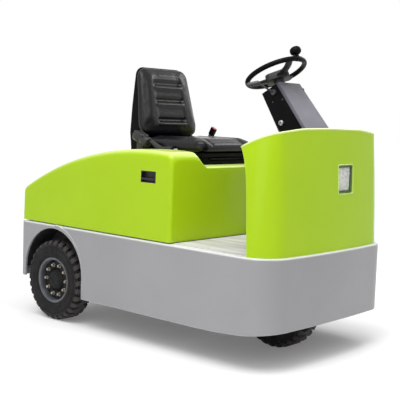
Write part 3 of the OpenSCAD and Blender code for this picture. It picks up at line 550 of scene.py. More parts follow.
# Plan outline of the front: two corner arcs and a bowed middle
CORNER_Y = HALF_W - CORNER_R
BOW_X = HALF_L - BOW_R
CORNER_X = BOW_X + math.sqrt((BOW_R - CORNER_R) ** 2 - CORNER_Y ** 2)
BOW_ANGLE = math.degrees(math.asin(CORNER_Y / (BOW_R - CORNER_R)))


def front_line(inset, start, n):
    right = arc(CORNER_X, -CORNER_Y, CORNER_R - inset, -start, -BOW_ANGLE, n)
    middle = arc(BOW_X, 0, BOW_R - inset, -BOW_ANGLE, BOW_ANGLE, n)
    left = arc(CORNER_X, CORNER_Y, CORNER_R - inset, BOW_ANGLE, start, n)
    return right + middle[1:-1] + left


# Hood: two shoulders round a seat channel, falling to the tail
HOOD_HALF = 0.521
HOOD_BOTTOM = 0.551
HOOD_REAR = -0.885
HOOD_FRONT = 0.308
HOOD_CREST = 1.011
HOOD_CREST_X = 0.12
HOOD_TAIL_R = 2.045
HOOD_EDGE_R = 0.034
HOOD_FRONT_R = 0.046
HOOD_CORNER_R = 0.02
HOOD_REAR_R = 0.006
HOOD_SKIN = 0.006
HOOD_NOSE_X = 0.255
BANK_Y = 0.332
CHANNEL_Y = 0.246
WALL_LEAN = 0.004


def front_drop(x, r):
    return edge_drop(x - HOOD_FRONT + r, r)


def tail_drop(x):
    return edge_drop(HOOD_REAR + HOOD_REAR_R - x, HOOD_REAR_R)


def hood_half_section(x):
    w = HOOD_HALF - front_drop(x, HOOD_CORNER_R) - tail_drop(x)
    dome = HOOD_CREST - HOOD_TAIL_R + math.sqrt(HOOD_TAIL_R ** 2 - (x - HOOD_CREST_X) ** 2)
    z = dome - front_drop(x, HOOD_FRONT_R) - tail_drop(x)
    c = min(z, SEAT_Z - 0.3 * front_drop(x, HOOD_FRONT_R))
    r = HOOD_EDGE_R
    inner = w - WALL_LEAN - r
    rise = z - r - 0.01 - HOOD_BOTTOM
    steps = [0.15, 0.3, 0.45, 0.6, 0.75, 0.9]
    points = [(w - 0.003 * t, HOOD_BOTTOM + rise * t) for t in [0, 0.02] + steps + [1.0]]
    points += arc(inner, z - r, r, 0, 90, 10)
    points += [(inner + (BANK_Y - inner) * t, z + 0.001 * math.sin(math.pi * t)) for t in steps]
    for i in range(15):
        t = i / 14
        points.append((BANK_Y + (CHANNEL_Y - BANK_Y) * t, z + (c - z) * smoothstep(t)))
    points += [(CHANNEL_Y * (1 - t), c) for t in (0.2, 0.4, 0.6, 0.8)]
    return points


def make_hood():
    stations = [HOOD_REAR + HOOD_REAR_R - polar(HOOD_REAR_R, a)[0] for a in range(0, 91, 15)]
    start = stations[-1]
    stations += [start + (HOOD_NOSE_X - start) * i / 48 for i in range(1, 49)]
    stations += [HOOD_NOSE_X + polar(HOOD_FRONT - HOOD_NOSE_X, a)[1] for a in range(6, 91, 6)]
    rows = []
    for x in stations:
        half = hood_half_section(x)
        right = [(x, -y, z) for y, z in half]
        left = [(x, y, z) for y, z in half[::-1]]
        rows.append(right + [(x, 0.0, half[-1][1])] + left)
    mesh = grid_mesh("hood_shell", rows, caps=True)
    obj = piece("hood_shell", mesh, lime, "hood", "lime_cover", ["hood"], 50)
    thicken(obj, HOOD_SKIN).use_even_offset = True
    hole = rounded_rectangle(0.1078, 0.0608, 0.004)
    holes = [(hole, moved(HANDLE_X, side * HOOD_HALF, HANDLE_Z) @ SIDEWAYS) for side, _ in SIDES]
    cut_away(obj, holes, 0.05)
    shade(obj.data, 50)


make_hood()

# Skirt: bent plate round the sides and the front, open at the wheels
SKIRT_X = [-0.852, -0.6, -0.3, 0.0, 0.3, 0.48, 0.52, 0.56, 0.6, 0.64, 0.68, 0.72]
SKIRT_BOTTOM = 0.16
SKIRT_T = 0.012
LEDGE_W = 0.06
LEDGE_T = 0.008


def lower_edge(x):
    start = 0.48
    return SKIRT_BOTTOM + 0.033 * max(0.0, (x - start) / (HALF_L - start)) ** 2


def skirt_line(inset):
    right = [(x, inset - HALF_W) for x in SKIRT_X]
    left = [(x, HALF_W - inset) for x in SKIRT_X[::-1]]
    return right + front_line(inset, 89.9, 24) + left


def make_skirt():
    under = SKIRT_TOP - LEDGE_T
    section = [(0.0, None)] + arc(SKIRT_T, SKIRT_TOP - SKIRT_T, SKIRT_T, 180, 90, 6)
    section += [(LEDGE_W, SKIRT_TOP), (LEDGE_W, under), (SKIRT_T, under), (SKIRT_T, None)]
    bottoms = [lower_edge(x) for x, _ in skirt_line(0)]
    rows = [[] for _ in bottoms]
    for inset, z in section:
        for row, bottom, (x, y) in zip(rows, bottoms, skirt_line(inset)):
            row.append((x, y, bottom if z is None else z))
    mesh = loft("skirt_plate", rows)
    obj = piece("skirt_plate", mesh, grey_paint, "chassis", "grey_armour", ["skirt"])
    tail = TAIL_BOTTOM - ARCH_Z
    arch = arc(0, 0, ARCH_R, 0, 180, 60)
    arch += [(-ARCH_R, tail), (-0.33, tail), (-0.33, -0.2), (ARCH_R, -0.2)]
    notch = rounded_rectangle(0.003, 0.018, 0.0005)
    cuts = []
    for side, _ in SIDES:
        cuts.append((arch, moved(ARCH_X, side * HALF_W, ARCH_Z) @ SIDEWAYS))
        cuts.append((notch, moved(SEAM_X, side * HALF_W, SKIRT_TOP - 0.003) @ SIDEWAYS))
    cut_away(obj, cuts, 0.04)
    soften(obj, 0.004, 3, 40)


# Arch lip: angle, drop and width along it, then the share of the width and the height of its section
def make_arch_lip():
    path = [(0.0, -0.112, 0.008), (0.0, -0.06, 0.009)]
    path += [(a, 0.0, 0.009 + 0.013 * smoothstep(a / 75)) for a in range(0, 88, 3)]
    section = [(0.0, -0.0095), (0.0, 0.001), (0.25, 0.003), (0.6, 0.003), (0.9, 0.0015), (1.0, -0.0015),
        (1.0, -0.0095)]
    lip = Build()
    for side, _ in SIDES:
        rows = []
        for a, drop, wide in path:
            row = []
            for share, out in section:
                x, z = polar(ARCH_R + share * wide, a)
                row.append((ARCH_X + x, side * (HALF_W + out), ARCH_Z + z + drop))
            rows.append(row)
        lip.take(loft("lip", rows))
    lip.done("skirt_arch_lip", grey_paint, "chassis", "grey_armour")


make_skirt()
make_arch_lip()

# Cowl: swept shell round the front, open at the lamp
COWL_N = 24
COWL_TOP = SKIRT_TOP + 0.609
COWL_T = 0.009
COWL_FOOT = 0.02
COWL_TUCK = 0.031
COWL_LEAN = 0.04
COWL_CURL = 0.036


def cowl_line(inset):
    return front_line(inset, 81, COWL_N)


def cowl_inset(t):
    return COWL_FOOT + COWL_TUCK * t - 0.003 * math.sin(math.pi * t)


def cowl_sweep(j, count):
    return max(0.0, 1 - min(j, count - 1 - j) / (COWL_N * 7 / 9)) ** 2


def cowl_face(y, z):
    line = cowl_line(cowl_inset((z - SKIRT_TOP) / (COWL_TOP - SKIRT_TOP)))
    for (xa, ya), (xb, yb) in zip(line, line[1:]):
        if min(ya, yb) <= y <= max(ya, yb) and ya != yb:
            return xa + (xb - xa) * (y - ya) / (yb - ya)
    return line[len(line) // 2][0]


def make_cowl():
    heights = [k / 36 for k in range(37)]
    lines = [cowl_line(cowl_inset(t)) for t in heights]
    count = len(lines[-1])
    rows = []
    for j, (top_x, top_y) in enumerate(lines[-1]):
        sweep = cowl_sweep(j, count)
        reach = max(0.0, HALF_L - 0.03 - top_x + (COWL_LEAN + COWL_CURL) * sweep)
        off = abs(top_y)
        rim = COWL_TOP - 0.062 * (reach / 0.153) ** 1.3
        rim += 0.003 * max(0.0, 1 - (off / 0.3) ** 2)
        rim -= 0.012 * smoothstep((off - 0.24) / 0.19) * (1 - sweep)
        row = []
        for t, line in zip(heights, lines):
            x, y = line[j]
            back = sweep * (COWL_LEAN * t + COWL_CURL * t ** 6)
            row.append((x - back, y, SKIRT_TOP + t * (rim - SKIRT_TOP)))
        rows.append(row)
    mesh = grid_mesh("cowl_shell", rows)
    bm = bmesh.new()
    bm.from_mesh(mesh)
    outward = sum(f.normal.x * (f.calc_center_median().x - 0.6) for f in bm.faces)
    if outward < 0:
        bmesh.ops.reverse_faces(bm, faces=bm.faces[:])
    bm.to_mesh(mesh)
    bm.free()
    obj = piece("cowl_shell", mesh, lime, "chassis", "lime_cover", ["cowl"], 50)
    thicken(obj, COWL_T)
    opening = rounded_rectangle(LAMP_W, LAMP_H, 0.01)
    cut_away(obj, [(opening, moved(HALF_L - 0.04, LAMP_Y, LAMP_Z) @ FORWARD)], 0.1)
    soften(obj, 0.0035, 3, 50)
    # A bead along the rim in the lighter lime, a painted highlight on the rim edge
    path = []
    for j, (x, y) in enumerate(cowl_line(COWL_FOOT + COWL_TUCK + COWL_T / 2)):
        path.append((x - (COWL_LEAN + COWL_CURL) * cowl_sweep(j, count), y, rows[j][-1][2] - 0.0035))
    Build().tube(path, 0.0066, 12).done("cowl_rim_bead", painted_highlight_lime, "chassis", "lime_cover", (), 0)


make_cowl()

# Tyres with shoulder lugs, rims with nuts
LUGS = 30
LUG_STEPS = 12
LUG_DEPTH = 0.016
SHOULDER_R = 0.198


def tyre_profile():
    half = TYRE_W / 2
    set_in = [(0.124, 0.013), (0.131, 0.012), (0.1345, 0.007), (0.139, 0.003), (0.146, 0.0035),
        (0.149, 0.0015), (0.154, 0.0015), (0.157, 0.003), (0.166, 0.0005), (0.178, 0), (0.19, 0),
        (0.1925, 0.0025), (0.1965, 0.0025), (0.199, 0.0002), (0.206, 0.001), (0.213, 0.0035),
        (0.2195, 0.009), (0.2245, 0.016), (0.2275, 0.024)]
    flank = [(r, half - y) for r, y in set_in]
    flank += [(TYRE_R, y * half) for y in (0.66, 0.54, 0.42, 0.32, 0.26, 0.18, 0.09)]
    return flank + [(TYRE_R, 0.0)] + [(r, -y) for r, y in flank[::-1]]


def make_tyre(name, centre, body, tyre_node):
    steps = LUGS * LUG_STEPS
    profile = tyre_profile()
    rows = []
    scuffs = []
    for i in range(steps):
        row = []
        for r, y in profile:
            s = 2 * abs(y) / TYRE_W
            drop = 0.0
            if r > SHOULDER_R:
                phase = (i / LUG_STEPS + (0.5 if y < 0 else 0.0) + 0.35 * s) % 1.0
                wall = smoothstep((0.2 - abs(phase - 0.5)) / 0.06)
                zone = smoothstep((s - 0.2) / 0.1) if r > 0.226 else smoothstep((r - SHOULDER_R) / 0.01)
                drop = LUG_DEPTH * wall * zone
            depth = drop if r > 0.215 else 0.0
            inward = drop * 0.55 if SHOULDER_R < r <= 0.2275 else 0.0
            side = math.copysign(1, y) if y else 0
            u, v = polar(r - depth, 360 * i / steps)
            row.append((centre[0] + u, centre[1] + y - side * inward, centre[2] + v))
            scuffs.append(smoothstep((r - 0.2) / 0.012) * (1 - smoothstep(drop / 0.006)))
        rows.append(row)
    mesh = grid_mesh(name, rows, close_rows=True, close_columns=True)
    mesh.attributes.new("tread", "FLOAT", "POINT").data.foreach_set("value", scuffs)
    return piece(name, mesh, rubber, body, "tyre_rubber", [tyre_node], 48)


def make_rear_wheel(side, tag):
    centre = (REAR_AXLE_X, side * WHEEL_Y, TYRE_R)
    axis = (0, side, 0)
    place = facing(centre, axis, "X")
    body = "rear_wheel_" + tag
    make_tyre(body + "_tyre", centre, body, "rear_" + tag + "_tyre")
    flange = [(0.1115, 0.004), (0.1125, 0.034), (0.114, 0.047), (0.1175, 0.0545), (0.124, 0.0585),
        (0.1295, 0.0575), (0.132, 0.0535), (0.1315, 0.05), (0.126, 0.049), (0.123, 0.042), (0.122, -0.042),
        (0.126, -0.049), (0.131, -0.0525), (0.129, -0.0575), (0.12, -0.0585), (0.112, -0.054),
        (0.1105, -0.02)]
    ring = Build().revolve(flange, 96, place, True)
    ring.done(body + "_flange", flange_paint, body, "wheel_steel", ["rear_" + tag + "_rim"], 30)
    web = [(0.111, 0.008), (0.1095, 0.025), (0.104, 0.03), (0.098, 0.029), (0.08, 0.029),
        (0.071, 0.0295), (0.066, 0.033), (0.0635, 0.0295), (0.0635, 0.016), (0.111, 0.008)]
    disc = Build().revolve(web, 96, place)
    cap = [(0.062, -0.04), (0.062, 0.03), (0.0605, 0.034), (0.057, 0.037), (0.053, 0.0395),
        (0.049, 0.043), (0.046, 0.0455), (0.042, 0.0462), (0.022, 0.0462), (0.02, 0.0445), (0, 0.0445)]
    disc.revolve(cap, 64, place)
    disc.revolve([(0.105, 0.0), (0.105, 0.017), (0.06, 0.017)], 64, place)
    for at in ring_points(place, 6, 0.031, 20, 0.0458):
        disc.hex_bolt(at, axis, 0.0045, 0.003, False)
    disc.done(body + "_disc", rim_paint, body, "wheel_steel", ["rear_" + tag + "_hub"], 30)
    nuts = Build()
    for at in ring_points(place, 10, 0.086, 18, 0.0288):
        nuts.hex_bolt(at, axis, 0.009, 0.014)
    nuts.done(body + "_nuts", brass, body, "wheel_steel", (), 30)


def make_front_wheel():
    centre = (FRONT_AXLE_X, 0.0, TYRE_R)
    make_tyre("front_wheel_tyre", centre, "front_wheel", "front_tyre")
    for side, tag in SIDES:
        axis = (0, side, 0)
        place = facing(centre, axis, "X")
        rim = Build().revolve([(0.0225, 0.0), (0.05, 0.0), (0.05, 0.008), (0.106, 0.008), (0.109, 0.014),
            (0.11, 0.046), (0.114, 0.0545), (0.122, 0.0575), (0.1295, 0.0565), (0.131, 0.0525),
            (0.13, 0.0495), (0.123, 0.048), (0.122, 0.0)], 96, place)
        rim.revolve([(0.0225, 0.0), (0.0225, 0.0585), (0.024, 0.0595), (0.046, 0.0595), (0.05, 0.0555),
            (0.05, 0.0)], 64, place)
        for at in ring_points(place, 6, 0.08, 0, 0.008):
            rim.hex_bolt(at, axis, 0.009, 0.008)
        nodes = ["front_rim"] if side < 0 else []
        rim.done("front_wheel_rim_" + tag, rim_paint, "front_wheel", "wheel_steel", nodes, 30)


for wheel_side, wheel_tag in SIDES:
    make_rear_wheel(wheel_side, wheel_tag)
make_front_wheel()


# Plain solids that stay take their finish here, with the width of their softened edges
def dress(name, material, width):
    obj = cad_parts[name]
    paint(obj.data, material)
    join = obj.modifiers.new("weld", "WELD")
    join.merge_threshold = 0.00002
    soften(obj, width, 2, 40)


SOLID_FINISHES = [
    (grey_paint, 0.003, ["rear_plate"]),
    (black_steel, 0.002, ["chassis_frame", "front_bridge", "rear_axle", "traction_motor"]),
    (black_steel, 0.002, ["tow_coupling", "steer_fork"]),
    (black_steel, 0.001, ["wheel_wells"]),
    (floor_metal, 0.0012, ["floor_plate"]),
    (battery_case, 0.004, ["battery"]),
    (dark_plastic, 0.002, ["knee_panel"]),
    (dark_plastic, 0.003, ["dash_panel"]),
    (dark_plastic, 0.001, ["direction_lever"]),
    (black_plastic, 0.006, ["column_housing"]),
    (black_plastic, 0.002, ["pedals", "seat_base", "belt_buckle"]),
    (cover_plastic, 0.005, ["column_cover"]),
    (bright_steel, 0.0015, ["key_switch", "tow_pin"]),
    (bright_steel, 0.001, ["hinge_base", "hinge_leaf"]),
    (bright_steel, 0.002, ["front_axle_shaft"]),
    # Headlamp housing walls take the darker lime of painted shade
    (painted_shade_recess, 0.002, ["headlamp_housing"]),
    (handle_plastic, 0.001, ["hood_handles"])]
for solid_finish, edge_width, solid_names in SOLID_FINISHES:
    for solid_name in solid_names:
        dress(solid_name, solid_finish, edge_width)

# Seat pads: rounded blanks filled by cloth pressure, then channelled
SMOOTH_ROUNDS = 14
CLOTH_FRAMES = 20
PAD_PRESSURE = 4.0
PAD_SWELL = 0.022


def pad_blank(name, outline, depth, radius, voxel):
    blank = Build().prism(outline, depth, radius, 6)
    obj = new_object(name, to_mesh(blank.bm, name))
    even = obj.modifiers.new("even", "REMESH")
    even.mode = "VOXEL"
    even.voxel_size = voxel
    bpy.context.view_layer.update()
    return baked(obj)


def inflate(obj, held_below):
    start = [v.co.copy() for v in obj.data.vertices]
    group = obj.vertex_groups.new(name="held")
    group.add([i for i, p in enumerate(start) if p.z < held_below], 1.0, "REPLACE")
    cloth = obj.modifiers.new("cloth", "CLOTH")
    settings = cloth.settings
    settings.quality = 5
    settings.use_pressure = True
    settings.uniform_pressure_force = PAD_PRESSURE
    settings.tension_stiffness = 18
    settings.compression_stiffness = 18
    settings.vertex_group_mass = "held"
    settings.effector_weights.gravity = 0
    cloth.collision_settings.use_collision = False
    cloth.point_cache.frame_start = 1
    cloth.point_cache.frame_end = CLOTH_FRAMES
    for number in range(1, CLOTH_FRAMES + 1):
        scene.frame_set(number)
    graph = bpy.context.evaluated_depsgraph_get()
    shaped = obj.evaluated_get(graph).to_mesh()
    swollen = [v.co.copy() for v in shaped.vertices]
    obj.evaluated_get(graph).to_mesh_clear()
    obj.modifiers.clear()
    obj.vertex_groups.clear()
    scene.frame_set(1)
    normals = [v.normal.copy() for v in obj.data.vertices]
    swell = [min(max((q - p).dot(n), 0.0), PAD_SWELL) for p, q, n in zip(start, swollen, normals)]
    near = [[] for _ in start]
    for edge in obj.data.edges:
        a, b = edge.vertices
        near[a].append(b)
        near[b].append(a)
    for _ in range(SMOOTH_ROUNDS):
        swell = [0.5 * h + 0.5 * sum(swell[j] for j in near[i]) / len(near[i]) for i, h in enumerate(swell)]
    return [p + n * h for p, n, h in zip(start, normals, swell)]


def finish_pad(obj, points, matrix, pad_node):
    for v, p in zip(obj.data.vertices, points):
        v.co = matrix @ p
    obj.data.update()
    fit(obj, vinyl, "hood", "seat_vinyl", [pad_node], 0, 1)


BACK_FRAME = moved(-0.176, 0, 1.078) @ turned(-13.35, "Y")
CHANNELS = (0.09, 0.204, 0.302)
BACK_FACE = 0.02
CUSHION_FACE = 0.03


def make_back():
    corners = [(-0.21, 0.006), (0.21, 0.006), (0.226, 0.06), (0.193, 0.39), (-0.193, 0.39), (-0.226, 0.06)]
    outline = round_outline(corners, [0.036, 0.036, 0.06, 0.058, 0.058, 0.06])
    obj = pad_blank("seat_back_pad", outline, 0.05, 0.021, 0.0055)
    points = []
    for lateral, height, front in inflate(obj, 0.004):
        if front > BACK_FACE:
            insert = smoothstep((0.122 - abs(lateral)) / 0.022)
            dent = 0.005 * insert * smoothstep((height - 0.035) / 0.02) * smoothstep((0.352 - height) / 0.02)
            for z in CHANNELS:
                offset = height - z
                wall = bell(offset, 0.01 if offset > 0 else 0.017)
                dent += insert * (0.016 * wall - 0.01 * bell(offset + 0.027, 0.015))
            front -= dent * smoothstep((front - BACK_FACE) / 0.02)
        depth = 1.0 - 0.3 * smoothstep(height / 0.38)
        points.append(Vector(((front - 0.062) * depth, lateral, height)))
    finish_pad(obj, points, BACK_FRAME, "seat_back")


def make_cushion():
    corners = [(-0.19, -0.226), (0.24, -0.226), (0.24, 0.226), (-0.19, 0.226)]
    outline = round_outline(corners, [0.035, 0.055, 0.055, 0.035])
    obj = pad_blank("seat_cushion_pad", outline, 0.058, 0.026, 0.006)
    points = []
    for x, y, z in inflate(obj, 0.006):
        z = max(z, 0.0)
        if z > CUSHION_FACE:
            lift = smoothstep((z - CUSHION_FACE) / 0.02)
            bolster = smoothstep((abs(y) - 0.13) / 0.06) * smoothstep((0.235 - abs(y)) / 0.03)
            z += lift * (0.007 * bolster - 0.006 * bell(abs(y) - 0.132, 0.01))
        points.append(Vector((x, y, z)))
    finish_pad(obj, points, moved(0, 0, 0.9945), "seat_cushion")


make_back()
make_cushion()


# Seat back shell: a moulded wedge behind the pad, narrowing upward
def make_back_shell():
    shoulder, round_r = 0.474, 0.05
    width = [(0.06, 0.205), (0.15, 0.216), (0.3, 0.205), (0.44, 0.191), (shoulder, 0.187)]
    front = [(0.06, -0.207), (0.128, -0.207), (0.15, -0.2435), (0.518, -0.3045), (0.524, -0.306)]
    rear = [(0.06, -0.322), (0.3, -0.3225), (0.516, -0.319), (0.524, -0.313)]
    heights = [0.06, 0.064, 0.08, 0.11, 0.126, 0.138, 0.152]
    heights += [0.152 + 0.322 * i / 20 for i in range(1, 21)]
    heights += [shoulder + polar(round_r, a)[1] for a in range(9, 91, 9)]
    rows = []
    for h in heights:
        w = along(width, h) - edge_drop(h - shoulder, round_r)
        x0, x1 = along(front, h), along(rear, h)
        r = min(0.012, 0.85 * (x0 - x1))
        loop = [(x0, -w), (x0, w)] + arc(x1 + r, w - r, r, 90, 180, 6) + arc(x1 + r, r - w, r, 180, 270, 6)
        rows.append([(x, y, SEAT_Z + h) for x, y in loop])
    mesh = loft("seat_shell", rows)
    obj = piece("seat_shell", mesh, black_plastic, "hood", "black_plastic", ["seat_back_shell"], 50)
    soften(obj, 0.003, 2, 50)


make_back_shell()


# Belt reel cover, webbing and buckle
def make_belt():
    reel = Build()
    axis = moved(-0.218, -0.2663, SEAT_Z + 0.143) @ turned(112.7, "Y")
    reel.revolve([(0, 0), (0.022, 0.0), (0.0275, 0.003), (0.03, 0.01), (0.03, 0.058), (0.0292, 0.059),
        (0.0292, 0.0615), (0.03, 0.0625), (0.03, 0.104), (0.0285, 0.1105), (0.025, 0.1135), (0.019, 0.114),
        (0.0175, 0.112), (0.006, 0.112), (0.005, 0.1138), (0, 0.1138)], 48, axis)
    reel.box((-0.0302, -0.0285, 0.004), (0.01, 0.0285, 0.074), 0.007, 4, axis)
    for at in ring_points(axis, 3, 0.0235, 30, 0.1128):
        reel.screw(at, axis.to_3x3() @ Vector((0, 0, 1)), 0.003)
    reel.box((-0.19, -0.2843, 0.98), (-0.144, -0.2483, 1.044), 0.003)
    reel.box((-0.19, -0.2843, 0.98), (-0.144, -0.2156, 0.992), 0.002)
    reel.done("belt_reel", reel_plastic, "hood", "black_plastic", ["belt_retractor"])
    strap = []
    for i in range(29):
        t = i / 28
        x = -0.132 + 0.175 * t
        y = -0.2655 + 0.021 * smoothstep(t * 1.6)
        z = 1.052 - 0.052 * smoothstep(t * 1.5) + 0.003 * math.sin(9 * t)
        lean = 0.15 + 1.0 * smoothstep(t * 1.5)
        across, up = 0.022 * math.cos(lean) * 0.35, 0.022 * math.sin(lean)
        strap.append([(x, y - across, z - up), (x, y + 0.0008, z), (x, y + across, z + up)])
    band = piece("belt_webbing", grid_mesh("belt_webbing", strap), webbing, "hood", "black_plastic", (), 0)
    thicken(band, 0.0016)
    strap_end = moved(0.041, -0.2445, 1.0005) @ turned(-24, "X")
    tongue = Build().box((-0.01, -0.0045, -0.025), (0.012, 0.0045, 0.025), 0.0025, 3, strap_end)
    tongue.done("belt_tongue_grip", black_plastic, "hood", "black_plastic")
    blade = Build().box((0.009, -0.0012, -0.013), (0.04, 0.0012, 0.013), 0.0006, 2, strap_end)
    blade.done("belt_tongue", bright_steel, "hood", "bright_steel")
    turn = moved(-0.108, 0.239, 1.082) @ turned(29, "Y")
    latch = Build().box((-0.0165, -0.0005, 0.0435), (0.0165, 0.0205, 0.0475), 0.0012, 2, turn)
    latch.done("buckle_button", tail_red, "hood", "black_plastic")
    profile = [(-0.18, 0.047), (-0.158, 0.047), (-0.1, 0.15), (-0.117, 0.158)]
    stalk = Build().prism(profile, 0.002, 0.0006, 1, moved(0, 0.244, SEAT_Z) @ SIDEWAYS)
    stalk.done("buckle_stalk", bright_steel, "hood", "bright_steel")


make_belt()

# Steering wheel: grip ring, three dished spokes, a padded hub and its neck
WHEEL = Matrix.Translation(STEER) @ turned(-STEER_LEAN, "Y")
RING_R = 0.156
GRIP_R = 0.013
WHEEL_TURN = 37


def make_steering_wheel():
    ring = Build().revolve(arc(RING_R, 0, GRIP_R, 0, 345, 23), 128, WHEEL, True)
    ring.done("steering_ring", black_plastic, "steering", "black_plastic", ["steering_wheel"], 0)
    arms = Build()
    oval = [polar(1, a) for a in range(0, 360, 20)]
    stations = [(0.034, -0.026, 0.029, 0.011), (0.07, -0.025, 0.026, 0.01), (0.105, -0.023, 0.0225, 0.009),
        (0.128, -0.018, 0.0215, 0.0085), (0.144, -0.01, 0.021, 0.008), (0.154, -0.003, 0.021, 0.007)]
    for k in range(3):
        spin = WHEEL @ turned(WHEEL_TURN + 60 + 120 * k, "Z")
        rows = []
        for r, z, half_w, half_t in stations:
            rows.append([tuple(spin @ Vector((r, half_w * u, z + half_t * v))) for u, v in oval])
        arms.take(loft("arm", rows))
    place = WHEEL @ turned(WHEEL_TURN, "Z") @ moved(0, 0, -0.044)
    arms.prism(rounded_rectangle(0.122, 0.095, 0.022), 0.04, 0.006, 4, place)
    arms.revolve([(0.034, 0.0398), (0.033, 0.0416), (0.029, 0.0426), (0, 0.043)], 48, place)
    neck = [(0.012, -0.244), (0.012, -0.032), (0.026, -0.032), (0.0275, -0.03), (0.0275, 0.004)]
    arms.revolve(neck, 48, place)
    arms.done("steering_hub", hub_plastic, "steering", "black_plastic")
    profile = [(0, 0.054), (0.01, 0.0535), (0.018, 0.0512), (0.0245, 0.0465), (0.0285, 0.04), (0.03, 0.032),
        (0.029, 0.0245), (0.026, 0.0185), (0.0205, 0.0135), (0.0125, 0.0105), (0.009, 0.009),
        (0.009, 0.001)]
    knob = Build().revolve(profile, 64, WHEEL @ moved(RING_R, 0, GRIP_R))
    clamp = arc(RING_R, 0, 0.0145, 0, 340, 17)
    rows = [[tuple(WHEEL @ turned(a, "Z") @ Vector((x, 0, z))) for x, z in clamp] for a in range(-8, 9, 2)]
    knob.take(loft("clamp", rows))
    knob.done("steering_spinner", black_plastic, "steering", "black_plastic", ["steering_knob"])


make_steering_wheel()


# Small fittings on the column and the dash
def make_column_fittings():
    cup = [(0.034, -0.006), (0.034, 0.002), (0.031, 0.005), (0.026, 0.007), (0.0255, 0.01), (0.0135, 0.0115)]
    boot = Build().revolve(cup, 48, WHEEL @ moved(0, 0, -0.098))
    boot.done("column_boot", black_plastic, "chassis", "black_plastic")
    screws = Build()
    spots = [(0.6, 0.0965, 1.275), (0.655, 0.104, 1.13), (0.76, 0.1045, 1.135), (0.66, 0.0958, 1.29)]
    for x, y, z in spots:
        for side, _ in SIDES:
            screws.screw((x, side * y, z), (0, side, 0.05), 0.0045)
    screws.done("column_screws", dark_plastic, "chassis", "black_plastic")
    eye = [(0.0125, 0.0), (0.0125, 0.0012), (0.0105, 0.0026), (0.0065, 0.0026), (0.006, 0.0), (0, 0.0)]
    key = Build().revolve(eye, 40, moved(0.668, -0.1141, 1.172) @ turned(90, "X"))
    key.done("key_bezel", bright_steel, "chassis", "bright_steel", (), 30)
    root, tip = STEER + Vector((0.031, -0.195, -0.06)), STEER + Vector((-0.004, -0.222, -0.072))
    length = (tip - root).length
    stem = [(0.005, -0.012), (0.009, -0.009), (0.0108, -0.003), (0.0112, 0.01), (0.0116, length - 0.004),
        (0.0105, length + 0.004), (0.006, length + 0.0085), (0, length + 0.01)]
    grip = Build().revolve(stem, 32, facing(root, (tip - root).normalized()))
    grip.done("lever_grip", dark_plastic, "chassis", "black_plastic", (), 60)
    cap = [(0.0085, -0.004), (0.0085, 0.007), (0.0115, 0.009), (0.012, 0.018), (0.01, 0.022), (0, 0.023)]
    knob = Build().revolve(cap, 32, moved(0.632, 0.094, 1.345) @ turned(-90, "X"))
    knob.done("column_knob", black_plastic, "chassis", "black_plastic")
    dial = [(0.034, 0.0), (0.034, 0.006), (0.031, 0.008), (0.028, 0.007), (0.027, 0.003), (0, 0.003)]
    dash = Build().revolve(dial, 48, moved(0.765, 0.235, 1.052))
    for k in range(3):
        y = -0.19 - 0.048 * k
        dash.box((0.742, y - 0.017, 1.052), (0.788, y + 0.017, 1.056), 0.0015)
        rock = moved(0.765, y, 1.057) @ turned(9, "Y")
        dash.box((-0.018, -0.012, -0.003), (0.018, 0.012, 0.004), 0.0015, 2, rock)
    dash.done("dash_fittings", black_plastic, "chassis", "black_plastic")


make_column_fittings()


# Headlamp: a block lens with rows of pebbles, held by a thin bezel and a lip in lighter lime, a painted
# highlight
def make_headlamp():
    back, face = 0.91, 0.9185
    half_w, half_h = 0.059, 0.0608
    steps = [2 * i / 22 - 1 for i in range(23)]
    rows = []
    for v in steps:
        row = []
        for u in steps:
            edge = min(half_w * (1 - abs(u)), half_h * (1 - abs(v)))
            dome = 0.004 * (1 - u ** 2) * (1 - v ** 2)
            pebble = 0.0011 * math.sin(math.pi * 7 * (u + 0.14)) * math.sin(math.pi * 6 * (v + 0.1))
            x = face + (dome + pebble) * smoothstep(edge / 0.008) - 0.004 * (1 - smoothstep(edge / 0.004))
            row.append((x, LAMP_Y + half_w * u, LAMP_Z + half_h * v))
        rows.append(row)
    mesh = grid_mesh("headlamp_block", rows)
    lens = piece("headlamp_block", mesh, lamp_silver, "chassis", "lamp_lens", ["headlamp_lens"], 0, 1)
    thicken(lens, face - back, -1 if mesh.polygons[0].normal.x > 0 else 1)
    loop = rounded_rectangle(2 * half_w + 0.004, 2 * half_h + 0.004, 0.006)
    bezel = Build().tube([(face + 0.0005, LAMP_Y + y, LAMP_Z + z) for y, z in loop], 0.0024, 10, True)
    bezel.done("headlamp_bezel", dark_plastic, "chassis", "black_plastic", (), 0)
    loop = rounded_rectangle(LAMP_W + 0.003, LAMP_H + 0.003, 0.0115)
    opening = [(LAMP_Y + y, LAMP_Z + z) for y, z in loop]
    lip = Build().tube([(cowl_face(y, z) - 0.0006, y, z) for y, z in opening], 0.003, 10, True)
    lip.done("headlamp_lip", painted_highlight_lime, "chassis", "lime_cover", (), 0)


make_headlamp()


# Fastenings at the rear, tail lamp lenses, pedal rubbers and rows of battery caps
def make_rear_bolts():
    bolts = Build()
    rearward = (-1, 0, 0)
    for y in (-0.07, 0.07):
        for z in (0.276, 0.492):
            bolts.hex_bolt((-0.888, y, z), rearward, 0.011, 0.009)
    for side, _ in SIDES:
        for dy in (-0.038, 0.038):
            bolts.hex_bolt((-0.88, side * 0.3312 + dy * 0.4, 0.489), rearward, 0.006, 0.005)
            bolts.hex_bolt((-0.892, side * 0.3312 + dy, 0.592), rearward, 0.006, 0.005)
    for y in (-0.5, -0.18, 0.18, 0.5):
        for z in (0.252, 0.515):
            bolts.hex_bolt((-0.872, y, z), rearward, 0.008, 0.006)
    bolts.done("rear_bolts", bright_steel, "chassis", "bright_steel", (), 30)


